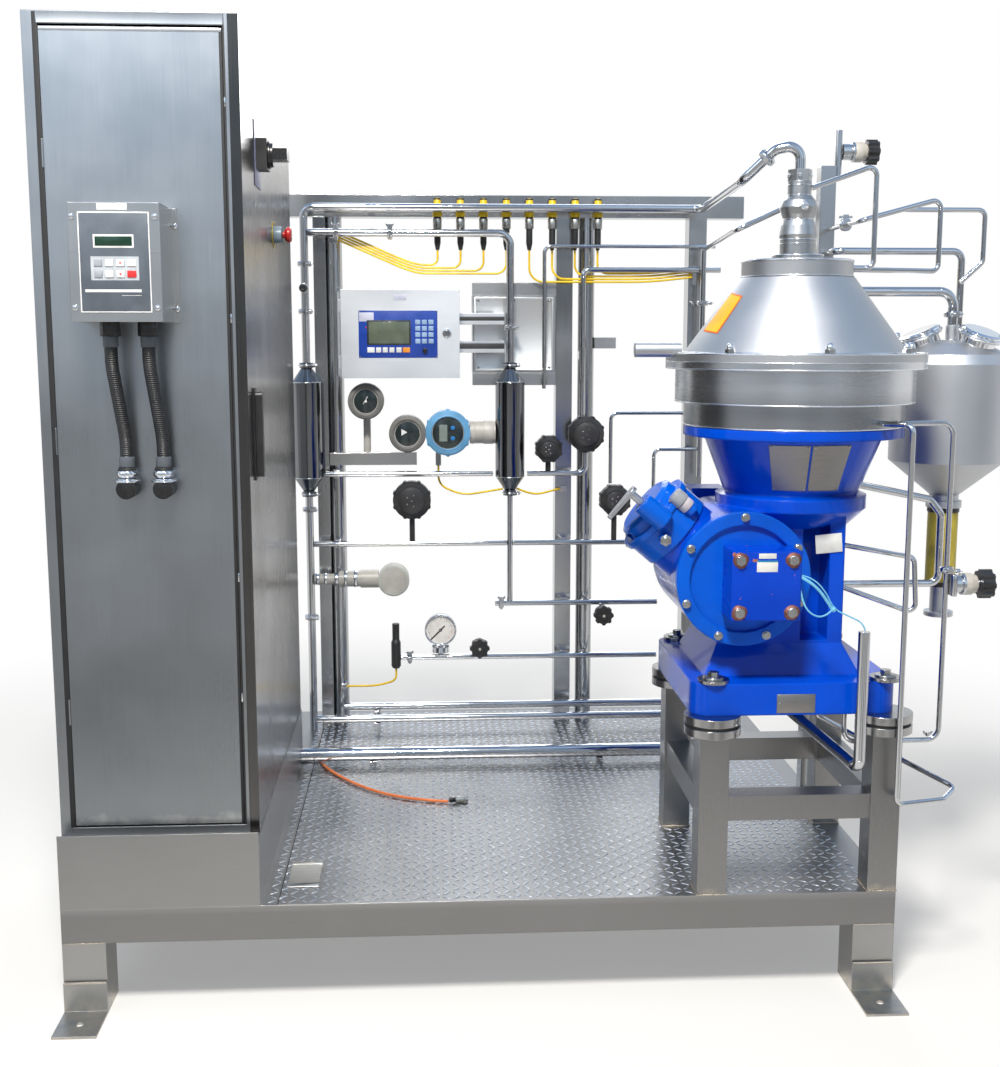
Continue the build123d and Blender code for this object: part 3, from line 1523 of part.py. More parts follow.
def machine_lines():
    t, m, s = tube_r, medium_tube_r, small_tube_r
    pieces = []
    ax, ay = axis_x, axis_y

    # Small loop from the collar up and over to the hood cap
    z_cap = hood_cap_z - cap_tap_drop
    x_loop = ax + 186
    pieces += tube_line([(ax + head_collar_r + 2.4, ay, head_collar_z - 6),
                         (x_loop, ay, head_collar_z + 49),
                         (x_loop, ay, z_cap), (ax + hood_cap_r + clear, ay, z_cap)], s, tight_bend)
    # Line from the tall post over and back to the hood cap
    y_post = tall_post_y - tall_post_size / 2
    x_far, y_far, z_post = right + 170, ay + 102, post_line_z
    cap_end = around(hood_cap_r + clear, 14.5, z_cap - 2)
    pieces += tube_line([(tall_post_x, y_post, z_post), (tall_post_x, y_far, z_post),
                         (x_far, y_far, z_post + 54), (x_far, y_far, z_cap - 2), cap_end], s, tight_bend,
                        clamps=[(tall_post_x, tank_y - 20, z_post)], rings=rings)
    # Vent branch to the tank's top pipe
    x_vent, z_vent = x_far - 50, z_post + 40.6
    pieces += tube_line([(x_vent, y_far + s + clear, z_vent), (x_vent, tank_y, z_vent),
                         (tank_x + 73, tank_y, z_vent), (tank_x + 73, tank_y, tank_pipe_z + 76),
                         (tank_x + t + 4, tank_y, tank_pipe_z + 24)], s, tight_bend)
    # Tank top pipe and second tank line
    pieces += tube_line([(tank_x, tank_y, tank_neck_top), (tank_x, tank_y, tank_pipe_z),
                         (tall_post_x, tank_y, tank_pipe_z), (tall_post_x, y_post, tank_pipe_z)], t,
                         tube_bend,
                        clamps=[(tank_x, tank_y, tank_neck_top + 28)], rings=rings)
    y_feed, z_feed = tank_y + 60, tank_pipe_z + 107
    pieces += tube_line([(tall_post_x, y_post, z_feed), (tall_post_x, y_feed, z_feed),
                         (tank_x + 41, y_feed, z_feed), (tank_x + 41, y_feed, tank_top + 59.5)], m,
                         small_bend)
    # Long flush line in front of the stand
    y_flush, x_flush, z_flush = front - 40, ax + 192, stand_top - 159
    flush_start = around(casing_lower_r + 0.4, -57.2, casing_tap_z)
    pieces += tube_line([flush_start, (x_flush, y_flush, casing_tap_z), (x_flush, y_flush, z_flush),
                         (x_flush + 123, y_flush + 30, z_flush),
                         (x_flush + 163, y_flush + 60, z_flush + 18),
                         (x_flush - 27, ay, z_flush + 88), (ax + 85, ay, z_flush + 133),
                         (ax + 85, ay, frame_base_z)], s, tight_bend)
    # Operating water line with its hand valve
    x_water, y_water, z_valve = valve_points["right"][0]
    x_foot, z_water = stand_posts_x[1] - 70, stand_top - 51
    pieces += tube_line([around(casing_lower_r + 5.4, -39.4, casing_tap_z - 4),
                         (x_water, y_water, casing_tap_z - 4), (x_water, y_water, z_water),
                         (x_foot, y_water, z_water), (x_foot, y_water, frame_base_z)], s, header_bend,
                        clamps=[(x_water, y_water, z_valve + 35),
                                (x_water - 34, y_water, z_water)], rings=rings)
    # Loops beside the column
    z_loop = casing_base_z + 11
    pieces += tube_line([around(173.5, 30, z_loop), (right + 178, y_far, z_loop - 52),
                         (right + 208, y_far, z_loop - 90), (right + 208, y_far, z_loop - 270),
                         (column_right + clear, y_far, z_loop - 270)], m, small_bend)
    y_near = ay - 48
    pieces += tube_line([(column_right + 2, y_near, gear_z + 58), (right + 72, y_near - 40, gear_z + 28),
                         (right + 82, y_near - 40, gear_z - 112),
                         (column_right + 2.8, y_near, gear_z - 42)],
                        s, tight_bend)
    # Drain bend in front of the base
    pieces += tube_line([(ax, ay, frame_base_z), (ax, ay, stand_top - 1),
                         (ax + 100, y_flush, stand_top - 71),
                         (ax + 100, y_flush, flange_top + 132)], drain_bend_r, tight_bend)
    # Sampling valve's tube beside the tall post
    x_sample, y_sample, z_sample = valve_points["top"][0]
    pieces += tube_line([(x_sample, y_sample, z_sample - 64), (x_sample, y_sample, z_sample + 56)], m,
                        tight_bend)
    # Branch from the upper bulb to the drop beside the rack
    pieces += tube_line([(ax - head_bulb_r - 3, ay, head_waist_z + 22), (ax - 150, ay, drop_top - 30),
                         (drop_x, line_y - m - clear, drop_top - 4)], s, tight_bend)
    return pieces


def line_clamps():
    y_clip = plug_y - cable_r - clear
    stack = (cable_rows - 1) * cable_pitch
    z_left = plug_bottom - cable_sag_left + cable_rise_left
    z_right = plug_bottom - cable_sag_right + cable_rise_right
    x_dosing = post_a_round_x + dosing_lead_end - 9
    z_dosing = line_498 - 102
    cable_clips = [block(post_a_round_x - 14, post_a_round_x + 14, y_clip, rack_front,
                         z_left - stack - cable_clip_under, z_left + cable_clip_over),
                   block(post_r_x - 20, post_r_x + 20, y_clip, rack_front,
                         z_right - stack - 25, z_right + cable_clip_over + 2),
                   block(x_dosing - 8, x_dosing + 8, rack_front - 41, rack_front, z_dosing - 10,
                         z_dosing + 10),
                   block(post_b_x - 10, post_b_x + 10, rack_front - 13, rack_front,
                         post_lead_z - 10, post_lead_z + 10)]
    return rings + clips + cable_clips


# Instruments

def flow_sensors():
    pieces = []
    for x in (left_sensor_x, right_sensor_x):
        z0, z1, c = sensor_bottom, sensor_top, sensor_cone
        pieces.append(turned([(0, z0 - c), (tube_r + 4, z0 - c), (sensor_r, z0), (sensor_r, z1),
                              (tube_r + 4, z1 + c), (0, z1 + c)], x, line_y))
        for z in (z0 - c - clamp_length, z1 + c):
            pieces.append(disc_about(x, line_y, z, z + clamp_length, tube_r + clamp_over))
    return pieces


def round_head(x, z, radius, depth, y_back=None):
    """Round instrument head that faces the front."""
    y_back = line_y + 14 if y_back is None else y_back
    return turned_along([(0, 0), (radius * 0.86, 0), (radius, 10), (radius, depth - 8),
                         (radius * 0.8, depth), (0, depth)], (x, y_back, z), (0, -1, 0))


def transmitter_heads():
    pieces = []
    beam_top_z = instrument_beam_z + instrument_beam_h
    post_y = rack_front - instrument_beam_d / 2
    y_back = post_y + 20
    for x, z, r in head_spots:
        pieces.append(round_head(x, z, r, head_depth, y_back))
        pieces.append(disc_about(x, post_y, beam_top_z, z - r - clear, head_stem_r))
    # Head with the display, and its body beside it
    x, z, r = display_head_x, display_head_z, display_head_r
    y_body = post_y - 24
    pieces.append(round_head(x, z, r, head_depth, y_back))
    pieces.append(rod((x + r + clear, y_body, z), (right_sensor_x - sensor_r - clear, y_body, z),
                      display_body_r))
    # Pressure transmitter on the left, lying level
    x_start = left_sensor_x + tube_r + clear
    for radius, reach in transmitter_rods:
        x_end = left_sensor_x + reach
        pieces.append(rod((x_start, line_y, transmitter_z), (x_end, line_y, transmitter_z), radius))
        x_start = x_end
    pieces.append(round_head(transmitter_x, transmitter_z, transmitter_r, 80, line_y + 30))
    # Connector under the head with the display
    pieces.append(disc_about(display_head_x - 31, post_y - 7, instrument_beam_z - 3, beam_top_z - 2, 9))
    return pieces


def actuator_cap(x, z, r):
    """Round cap with eight bolt lugs, facing the front."""
    d = actuator_depth
    y = line_y + 20
    cap = turned_along([(0, 0), (r - 10, 0), (r, 12), (r, d - 14), (r - 14, d), (0, d)], (x, y, z),
                       (0, -1, 0))
    for n in range(actuator_lug_count):
        angle = 2 * math.pi * (n + 0.5) / actuator_lug_count
        lug_x, lug_z = x + (r - 4) * math.cos(angle), z + (r - 4) * math.sin(angle)
        cap += rod((lug_x, y - 12, lug_z), (lug_x, y - d + 14, lug_z), actuator_lug_r)
    return cap


def valve_actuators():
    pieces = []
    y = line_y
    seat = medium_tube_r + clear
    feet = {"left": line_884 + seat, "tall": line_1115 + branch_rise, "small": line_1115 + seat,
            "right": line_884 + seat}
    for name, (x, z, r) in actuators.items():
        pieces.append(actuator_cap(x, z, r))
        pieces.append(disc_about(x, y, feet[name], z - r, actuator_stem_r))
    # Dosing valve with its plug
    z0 = line_498 - dosing_drop
    pieces.append(turned([(0, z0), (dosing_r - 5, z0), (dosing_r, z0 + 8), (dosing_r, dosing_top - 10),
                          (dosing_r - 4, dosing_top), (0, dosing_top)], dosing_x, y))
    pieces.append(disc_about(dosing_x, y, dosing_top, dosing_top + dosing_plug, plug_body_r))
    return pieces


def operator_box():
    y0 = op_front + op_door_t + clear
    y1 = op_front + op_depth
    box = block(op_left, op_right, y0, y1, op_bottom, op_top)
    t = op_sheet
    box -= block(op_left + t, op_right - t, y0 - 1, y1 - t, op_bottom + t, op_top - t)
    pieces = [box]
    half = op_hinge_length / 2
    x_pin, y_pin = op_left - op_hinge_r - clear, y0 - clear / 2
    for z in (op_bottom + op_hinge_inset, op_top - op_hinge_inset):
        barrel = disc_about(x_pin, y_pin, z - half, z + half, op_hinge_r)
        leaf = block(op_left - op_hinge_r / 2, op_left, y0, y0 + op_hinge_length / 2, z - half, z + half)
        pieces.append(barrel + leaf)
    for z in (op_rail_upper_z, op_rail_lower_z):
        y_rail = y1 - op_rail_d
        pieces.append(block(op_right, op_rail_right, y_rail, y1, z, z + op_rail_h))
        pieces.append(block(op_rail_right - op_rail_foot, op_rail_right, y1, rack_front, z, z + op_rail_h))
    return pieces


def operator_door():
    door = tray(op_left, op_right, op_front, op_front + op_door_t, op_bottom, op_top, op_sheet, (0, 1))
    bore = rod((op_lock_x, op_front - 1, op_lock_z), (op_lock_x, op_front + 3, op_lock_z),
               op_lock_r * 0.7 + clear)
    return [door - bore]


def operator_lock():
    stem_r, half = op_lock_r * 0.7, op_lock_slot / 2
    body = turned_along([(0, -op_lock_depth), (stem_r, -op_lock_depth), (stem_r, clear), (op_lock_r, clear),
                         (op_lock_r, 5), (0, 5)], (op_lock_x, op_front, op_lock_z), (0, -1, 0))
    slot = block(op_lock_x - 1, op_lock_x + 1, op_front - 6, op_front - 3, op_lock_z - half,
                 op_lock_z + half)
    return [body - slot]


def terminal_boxes():
    y0 = rack_front
    pieces = [block(term_left, term_right, y0, y0 + term_depth, term_bottom, term_top)]
    for z in (term_bottom - strut_h, term_top):
        pieces.append(block(term_left, post_b_x - post_b_w / 2, y0, y0 + strut_h, z, z + strut_h))
    x_bar = post_b_round_x + post_b_round_r + clear
    pieces.append(block(x_bar, x_bar + side_bar_length, y0 + 12, y0 + 12 + strut_h, side_bar_z,
                        side_bar_z + 36))
    return pieces


# Gauge and hand valves

gauge_back = line_y + 17


def pressure_gauge():
    y = gauge_back
    lip = gauge_lip
    case = turned_along([(0, 0), (gauge_r, 0), (gauge_r, gauge_depth), (gauge_r - lip, gauge_depth),
                         (gauge_r - lip, gauge_depth - lip), (0, gauge_depth - lip)],
                        (gauge_x, y, gauge_z), (0, -1, 0))
    z0, z1 = gauge_z - gauge_seal_drop, gauge_z - gauge_r - clear
    seal = turned([(0, z0), (gauge_seal_r, z0), (gauge_seal_r, z1 - 6), (10, z1 - 6), (10, z1), (0, z1)],
                  gauge_x, line_y)
    foot = disc_about(gauge_x, line_y, line_498 + medium_tube_r + clear, z0, 9)
    pivot = rod((gauge_x, y - gauge_depth + lip, gauge_z), (gauge_x, y - gauge_depth + 1, gauge_z), 2)
    return [case, seal, foot, pivot]


def gauge_needle():
    y = gauge_back - gauge_depth + 4
    plane = Plane(origin=(gauge_x, y, gauge_z), x_dir=(1, 0, 0), z_dir=(0, -1, 0))
    hub = Circle(5)
    blade = Rot(0, 0, 225) * (Pos(needle_length * 0.2, 0) * Rectangle(needle_length, needle_width))
    bore = Circle(2 + run_fit)
    return [extrude(plane * (hub + blade - bore), amount=1.5)]


def valve_body(x, y, z, direction, reach):
    """Diaphragm valve: body, bonnet and neck, up to the handwheel."""
    base = Vector(x, y, z)
    d = Vector(direction)
    start = (medium_tube_r if x == sample_x else small_tube_r) + clear
    return [rod(base + d * start, base + d * reach * 0.45, valve_body_r),
            rod(base + d * reach * 0.45, base + d * reach * 0.6, valve_body_r + 5),
            rod(base + d * reach * 0.6, base + d * (reach - clear), valve_neck_r)]


def hand_valves():
    pieces = []
    for name, (place, direction, reach) in valve_points.items():
        pieces += valve_body(*place, direction, reach)
    for name, low, high in (("left", line_498 + medium_tube_r + clear, None),
                            ("rear", None, line_680 - medium_tube_r - clear)):
        x, y, z = valve_points[name][0]
        pieces.append(disc_about(x, line_y, low or z + valve_body_r, high or z - valve_body_r, 8))
    return pieces


def handwheel(name):
    """Star knob with lobes, on the end of a valve's neck."""
    place, direction, reach = valve_points[name]
    radius, depth = wheel_sizes[name]
    origin = Vector(place) + Vector(direction) * reach
    plane = Plane(origin=origin, z_dir=Vector(direction))
    star = extrude(plane * toothed(wheel_lobes, radius * 0.86, radius, 0.34, 0.16), amount=depth)
    return [star + rod(origin, origin + Vector(direction) * (depth + 5), radius * 0.45)]


# Tank

def tank_vessel():
    z0, z1 = tank_bottom, tank_top
    d = tank_dome
    return turned([(0, tank_cone_z), (tank_neck_r, tank_cone_z), (tank_r, z0), (tank_r, z1),
                   (tank_r * 0.93, z1 + d * 0.4), (tank_r * 0.62, z1 + d * 0.85), (tank_dome_r, z1 + d),
                   (0, z1 + d)], tank_x, tank_y)


def tank():
    n = tank_neck_r
    z_dome, z_clamp = tank_top + tank_dome, tank_cone_z - tank_clamp_drop
    z_rim, r_rim = z_clamp + tank_clamp_height, n + tank_clamp_over
    r_neck = tank_neck_tube_r
    neck = turned([(0, z_dome), (r_neck, z_dome), (r_neck, tank_neck_top), (0, tank_neck_top)], tank_x,
                  tank_y)
    collar = turned([(0, z_clamp), (r_rim, z_clamp), (r_rim, z_rim), (n, z_rim), (n, tank_cone_z),
                     (0, tank_cone_z)], tank_x, tank_y)
    r = outlet_sleeve_r
    sleeve = disc_about(tank_x, tank_y, outlet_sleeve_bottom, z_clamp, r)
    z_foot = outlet_bottom + outlet_foot
    outlet = turned([(0, outlet_bottom), (r, outlet_bottom), (r, z_foot), (outlet_r, z_foot),
                     (outlet_r, outlet_sleeve_bottom), (0, outlet_sleeve_bottom)], tank_x, tank_y)
    return [tank_vessel(), neck, collar, sleeve, outlet]


def tank_ports():
    pieces = []
    tilt = math.radians(tank_port_tilt)
    for dx, dy in tank_port_spots:
        spread = math.hypot(dx, dy)
        axis = Vector(dx / spread * math.sin(tilt), dy / spread * math.sin(tilt), math.cos(tilt))
        foot = Vector(tank_x + dx, tank_y + dy, tank_top + tank_dome * 0.86 - 8)
        r = tank_port_r
        port = turned_along([(0, -20), (r - 10, -20), (r - 10, 24), (r, 24), (r, 40), (r - 8, 44), (0, 44)],
                            foot, axis)
        pieces.append(port - tank_vessel())
    return pieces


# Plugs and cords

plug_y = rack_front - plug_rail_t - clear - plug_r


def plug_points():
    return [plug_left + n * plug_pitch for n in range(plug_count)]


def sensor_plugs():
    pieces = []
    for x in plug_points():
        pieces.append(turned([(0, plug_bottom), (6, plug_bottom), (plug_r - 2, plug_bottom + 22),
                              (plug_r - 2, plug_nut_z), (plug_r, plug_nut_z), (plug_r, plug_nut_z + 36),
                              (plug_r - 1, plug_nut_z + 36), (plug_r - 1, plug_top), (0, plug_top)],
                             x, plug_y))
    return pieces


def cord(points, radius):
    """Cord along hand-chosen points, each corner rounded as far as its runs allow."""
    corners = [Vector(p) for p in points]
    radii = []
    for before, corner, after in zip(corners, corners[1:], corners[2:]):
        turn = math.radians((corner - before).get_angle(after - corner))
        short = min((corner - before).length, (after - corner).length)
        radii.append(0.45 * short / math.tan(turn / 2))
    print("cord bend radii", [round(r) for r in radii])
    path = FilletPolyline(*points, radius=radii)
    face = Plane(origin=corners[0], z_dir=corners[1] - corners[0]) * Circle(radius)
    return sweep(face, path=path)


def sensor_cables():
    y = plug_y
    spots = plug_points()
    pieces = []
    # Four leads sweep to the left post and four to the right post, one above the other
    z_left = plug_bottom - cable_sag_left
    z_right = plug_bottom - cable_sag_right
    for n in range(cable_rows):
        x, drop = spots[n], cable_pitch * n
        z = z_left - drop
        pieces.append(cord([(x, y, plug_bottom), (x, y, z), (cable_run_left, y, z),
                            (cable_run_left - cable_slope_left, y, z + cable_lift_left),
                            (post_a_round_x + cable_seat_left, y, z + cable_rise_left)], cable_r))
        x = spots[plug_count - 1 - n]
        z = z_right - drop
        pieces.append(cord([(x, y, plug_bottom), (x, y, z), (post_r_x - cable_run_right, y, z),
                            (post_r_x - cable_seat_right, y, z + cable_rise_right)], cable_r))
    # Leads of the large head, the right flow sensor and the dosing valve
    x_head, z_head = display_head_x + display_lead_x, display_head_z - display_lead_drop
    z_low = sensor_lead_z - sensor_lead_sag
    pieces.append(cord([(x_head, line_y + 28, z_head), (x_head, line_y + 28, z_head - 65),
                        (x_head + 80, line_y + 24, z_low),
                        (right_sensor_x - sensor_lead_out, line_y, sensor_lead_z)], cable_r))
    pieces.append(cord([(right_sensor_x + sensor_lead_out, line_y, sensor_lead_z),
                        (right_sensor_x + 85, line_y + 22, z_low),
                        (post_lead_x, line_y + 48, post_lead_z)], cable_r))
    z_dosing = line_498 - dosing_lead_drop
    pieces.append(cord([(dosing_x, line_y, line_498 - dosing_drop), (dosing_x, line_y, z_dosing),
                        (dosing_x - 64, line_y + 14, z_dosing - 22),
                        (post_a_round_x + dosing_lead_end, line_y + 22, z_dosing - 24)], cable_r))
    return pieces


def deck_cable():
    z = deck_top + lead_r + clear
    x0, y0 = left + plinth_width, lead_exit_y
    route = [(clear, 0), (52, 0), (82, -90), (156, -212), (254, -323), (371, -386), (447, -400)]
    lead = cord([(x0 + dx, y0 + dy, z) for dx, dy in route], lead_r)
    z_plug = z + lead_connector_over
    plug = rod((x0 + 449, y0 - 399.6, z_plug), (x0 + 514, y0 - 390, z_plug), lead_r + lead_connector_over)
    return [lead, plug]


# Build

if __name__ == "__main__":
    save("base_frame", base_frame() + plinth() + deck_plate())
    save("frame_legs", frame_legs())
    save("cabinet_shell", cabinet_shell())
    save("front_door", front_door())
    save("main_door", main_door())
    save("door_hinges", door_hinges())
    save("door_handle", door_handle())
    save("switch_bases", switch_bases())
    save("isolator_knob", isolator_knob())
    save("estop_button", estop_button())
    save("drive_box", drive_box())
    save("drive_conduits", drive_conduits())
    save("switchgear", switchgear())
    save("stand_frame", stand_frame())
    save("pad_plates", pad_plates())
    save("pad_rubbers", pad_rubbers())
    save("machine_frame", machine_frame())
    save("gear_cover", gear_cover())
    save("machine_bolts", machine_bolts())
    save("drive_flange", drive_flange())
    save("brake_housing", brake_housing())
    save("brake_lever", brake_lever())
    save("motor_body", motor_body())
    save("drive_shaft", drive_shaft())
    save("worm_wheel", worm_wheel())
    save("spindle", spindle())
    save("bearings", bearings())
    save("bowl_body", bowl_body())
    save("sliding_piston", sliding_piston())
    save("distributor", distributor())
    save("disc_stack", disc_stack())
    save("bowl_top", bowl_top())
    save("lock_ring", lock_ring())
    save("feed_tube", feed_tube())
    save("catcher", catcher())
    save("hood", hood())
    save("inlet_head", inlet_head())
    save("pipe_rack", pipe_rack())
    save("rack_lines", rack_lines())
    save("machine_lines", machine_lines())
    save("line_clamps", line_clamps())
    save("flow_sensors", flow_sensors())
    save("transmitter_heads", transmitter_heads())
    save("valve_actuators", valve_actuators())
    save("operator_box", operator_box())
    save("operator_door", operator_door())
    save("operator_lock", operator_lock())
    save("terminal_boxes", terminal_boxes())
    save("pressure_gauge", pressure_gauge())
    save("gauge_needle", gauge_needle())
    save("hand_valves", hand_valves())
    save("handwheel_right", handwheel("right"))
    save("handwheel_top", handwheel("top"))
    save("handwheel_left", handwheel("left"))
    save("handwheel_rear", handwheel("rear"))
    save("tank", tank())
    save("tank_ports", tank_ports())
    save("sensor_plugs", sensor_plugs())
    save("sensor_cables", sensor_cables())
    save("deck_cable", deck_cable())
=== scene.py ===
import math

import bpy
from mathutils import Matrix, Vector


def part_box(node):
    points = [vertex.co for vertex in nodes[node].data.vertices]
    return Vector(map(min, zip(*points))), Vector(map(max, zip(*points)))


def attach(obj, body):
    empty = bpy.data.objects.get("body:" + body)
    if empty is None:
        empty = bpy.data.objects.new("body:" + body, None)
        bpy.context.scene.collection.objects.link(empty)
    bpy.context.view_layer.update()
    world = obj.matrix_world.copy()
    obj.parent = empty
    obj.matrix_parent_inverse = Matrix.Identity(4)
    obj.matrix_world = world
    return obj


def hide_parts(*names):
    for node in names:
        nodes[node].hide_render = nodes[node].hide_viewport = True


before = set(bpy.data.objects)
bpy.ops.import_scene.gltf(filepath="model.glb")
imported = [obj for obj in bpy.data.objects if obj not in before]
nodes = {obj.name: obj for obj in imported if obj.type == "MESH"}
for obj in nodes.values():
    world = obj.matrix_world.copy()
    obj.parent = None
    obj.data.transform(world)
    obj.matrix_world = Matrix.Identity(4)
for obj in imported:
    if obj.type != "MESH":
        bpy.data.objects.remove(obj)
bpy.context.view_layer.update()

# Camera at the photograph's viewpoint: a standing adult, nearly four metres in front of the skid,
# looking slightly down and a little to the right.
bpy.ops.object.select_all(action="DESELECT")
bpy.ops.object.camera_add(location=(-0.1276, -3.7604, 1.5597))
camera = bpy.context.object
right_of_view = Vector((0.99848, -0.05507, 0.0))
up_of_view = Vector((0.00807, 0.14625, 0.98921))
back_of_view = Vector((-0.05446, -0.98771, 0.14647))
turn = Matrix((right_of_view, up_of_view, back_of_view)).transposed().to_4x4()
camera.matrix_world = Matrix.Translation(camera.location) @ turn
camera.data.sensor_width = 36
camera.data.lens = 44.80
bpy.context.scene.camera = camera


# Loose sensor lead on the deck: one orange round lead that comes out of the plinth through a rubber
# sleeve and ends in a screwed connector. It lies flat on the tread plate.
def wired(node, inputs):
    """Give a node its inputs: plain values, or outputs of other nodes."""
    for name, value in inputs.items():
        if isinstance(value, bpy.types.NodeSocket):
            node.id_data.links.new(value, node.inputs[name])
        else:
            node.inputs[name].default_value = value
    return node


def new_node(tree, kind, inputs, **settings):
    """A shader node with its settings and inputs."""
    node = tree.nodes.new("ShaderNode" + kind)
    for name, value in settings.items():
        setattr(node, name, value)
    return wired(node, inputs)


def noise(tree, place, scale, detail=2.0):
    """Noise between 0 and 1."""
    return new_node(tree, "TexNoise", {"Vector": place, "Scale": scale, "Detail": detail}).outputs["Fac"]


def computed(tree, operation, *terms):
    """Result of a math node."""
    return new_node(tree, "Math", dict(enumerate(terms)), operation=operation).outputs[0]


def ranged(tree, value, source=(0.0, 1.0), result=(0.0, 1.0), step="LINEAR"):
    """A value carried from one range to another."""
    spans = {"From Min": source[0], "From Max": source[1], "To Min": result[0], "To Max": result[1]}
    return new_node(tree, "MapRange", {"Value": value, **spans}, interpolation_type=step).outputs[0]


def graded(tree, value, stops, blend="LINEAR"):
    """Colour by value, through stops of (value, colour) in rising order."""
    ramp = new_node(tree, "ValToRGB", {"Fac": value})
    ramp.color_ramp.interpolation = blend
    ends = ramp.color_ramp.elements
    for n, (position, colour) in ((0, stops[0]), (1, stops[-1])):
        ends[n].position = position
        ends[n].color = (*colour, 1)
    for position, colour in stops[1:-1]:
        ends.new(position).color = (*colour, 1)
    return ramp.outputs["Color"]


def mixed(tree, share, first, second):
    """Two colours mixed by a share of the second."""
    return new_node(tree, "Mix", {0: share, 6: first, 7: second}, data_type="RGBA").outputs[2]


def new_finish(name):
    """Empty node material: itself, its tree, its shader and the place on the piece."""
    finish = bpy.data.materials.new(name)
    finish.use_nodes = True
    tree = finish.node_tree
    place = new_node(tree, "TexCoord", {}).outputs["Object"]
    return finish, tree, tree.nodes["Principled BSDF"], place


def moulded(name, colour, rough, bumps=900, depth=0.12):
    """Moulded plastic or rubber with a fine grain and faint dust."""
    finish, tree, shade, place = new_finish(name)
    dust = noise(tree, place, 22, 6.0)
    tone = graded(tree, dust, ((0.35, [c * 0.85 for c in colour]),
                               (0.75, [min(1.0, c * 1.12 + 0.006) for c in colour])))
    lift = new_node(tree, "Bump", {"Height": noise(tree, place, bumps), "Strength": depth,
                                   "Distance": 0.0003})
    wired(shade, {"Base Color": tone, "Normal": lift.outputs[0],
                  "Roughness": ranged(tree, dust, result=(max(0.02, rough - 0.08), rough + 0.12))})
    return finish


def steel(name, colour, rough, grain, depth=0.15, smudge=0.12, shine=1.0, residue=None, patches=3.2,
          painted_top_light=None):
    """Worked steel; grain gives the noise scale along X, Y and Z, residue a height band with dried marks.

    The last setting paints light and shade as a tone that is lighter towards the top: two heights, and how
    much lighter it is above them.
    """
    finish, tree, shade, place = new_finish(name)
    stretched = new_node(tree, "Mapping", {"Vector": place, "Scale": grain}).outputs[0]
    lines = noise(tree, stretched, 1.0, 4.0)
    clouds = noise(tree, place, patches, 5.0)
    wear = computed(tree, "MULTIPLY_ADD", lines, 0.3, computed(tree, "MULTIPLY", clouds, 0.7))
    tone = graded(tree, wear, ((0.36, [c * (1 - smudge) for c in colour]),
                               (0.64, [min(1.0, c * (1 + smudge * 0.7)) for c in colour])))
    height = new_node(tree, "SeparateXYZ", {0: place}).outputs["Z"]
    # Painted light: the tone is scaled from 1 at the lower height up to the gain at the upper one.
    if painted_top_light:
        start, end, top_light_gain = painted_top_light
        rise = ranged(tree, height, (start, end), (1.0, top_light_gain))
        tone = new_node(tree, "VectorMath", {0: tone, "Scale": rise}, operation="SCALE").outputs[0]
    if residue:
        low, high, tint = residue
        crust = computed(tree, "MULTIPLY", ranged(tree, height, (high, low)), noise(tree, place, 28, 8.0))
        tone = mixed(tree, ranged(tree, crust, (0.30, 0.52), (0.0, 0.75)), tone, (*tint, 1))
    edge = new_node(tree, "Bevel", {"Radius": 0.0025}, samples=4)
    lift = new_node(tree, "Bump", {"Normal": edge.outputs["Normal"], "Height": lines, "Strength": depth,
                                   "Distance": 0.0004})
    wired(shade, {"Metallic": shine, "Base Color": tone, "Normal": lift.outputs[0],
                  "Roughness": ranged(tree, wear, (0.35, 0.65), (max(0.03, rough - 0.06), rough + 0.06))})
    return finish


def only(piece):
    """Select a piece alone and make it active."""
    bpy.ops.object.select_all(action="DESELECT")
    piece.select_set(True)
    bpy.context.view_layer.objects.active = piece


def in_mesh(piece):
    """Carry a piece's place, turn and size over to its mesh."""
    only(piece)
    bpy.ops.object.transform_apply(location=True, rotation=True, scale=True)


def settle(piece, name, body, finish, bevel=0.0, angle=35):
    """Round a piece's edges, fix its place in its mesh, finish it and let it ride on its body."""
    in_mesh(piece)
    if bevel:
        rounding = piece.modifiers.new("edges", "BEVEL")
        rounding.width = bevel
        rounding.segments = 2
        rounding.limit_method = "ANGLE"
        bpy.ops.object.modifier_apply(modifier=rounding.name)
    bpy.ops.object.shade_smooth_by_angle(angle=math.radians(angle))
    piece.name = name
    piece.data.materials.clear()
    piece.data.materials.append(finish)
    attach(piece, body)
    return piece


def added(primitive, **sizes):
    """A new primitive, selected alone."""
    bpy.ops.object.select_all(action="DESELECT")
    primitive(**sizes)
    return bpy.context.object


def shaped(piece, picked, steps, sink=0.0):
    """Shape the picked faces: each step insets them and sinks the inset, then extrudes them by a move."""
    for face in piece.data.polygons:
        face.select = picked(face)
    bpy.ops.object.mode_set(mode="EDIT")
    bpy.ops.mesh.select_mode(type="FACE")
    for inset, move in steps:
        if inset:
            bpy.ops.mesh.inset(thickness=inset, depth=sink)
        if any(move):
            bpy.ops.mesh.extrude_region_move(TRANSFORM_OT_translate={"value": move})
    bpy.ops.object.mode_set(mode="OBJECT")


def facing(normal):
    """Turn that points a piece's Z axis along a normal."""
    return Vector(normal).to_track_quat("Z", "Y").to_matrix().to_4x4()


def disc(place, normal, radius, depth, steps=(), sides=40):
    """Round piece that stands on a place along a normal. Each step insets its front face, then moves it."""
    normal = Vector(normal).normalized()
    piece = added(bpy.ops.mesh.primitive_cylinder_add, vertices=sides, radius=radius, depth=depth)
    shaped(piece, lambda face: face.center.z > depth * 0.49, [(inset, (0, 0, rise)) for inset, rise in steps])
    piece.matrix_world = Matrix.Translation(Vector(place) + normal * depth / 2) @ facing(normal)
    return piece


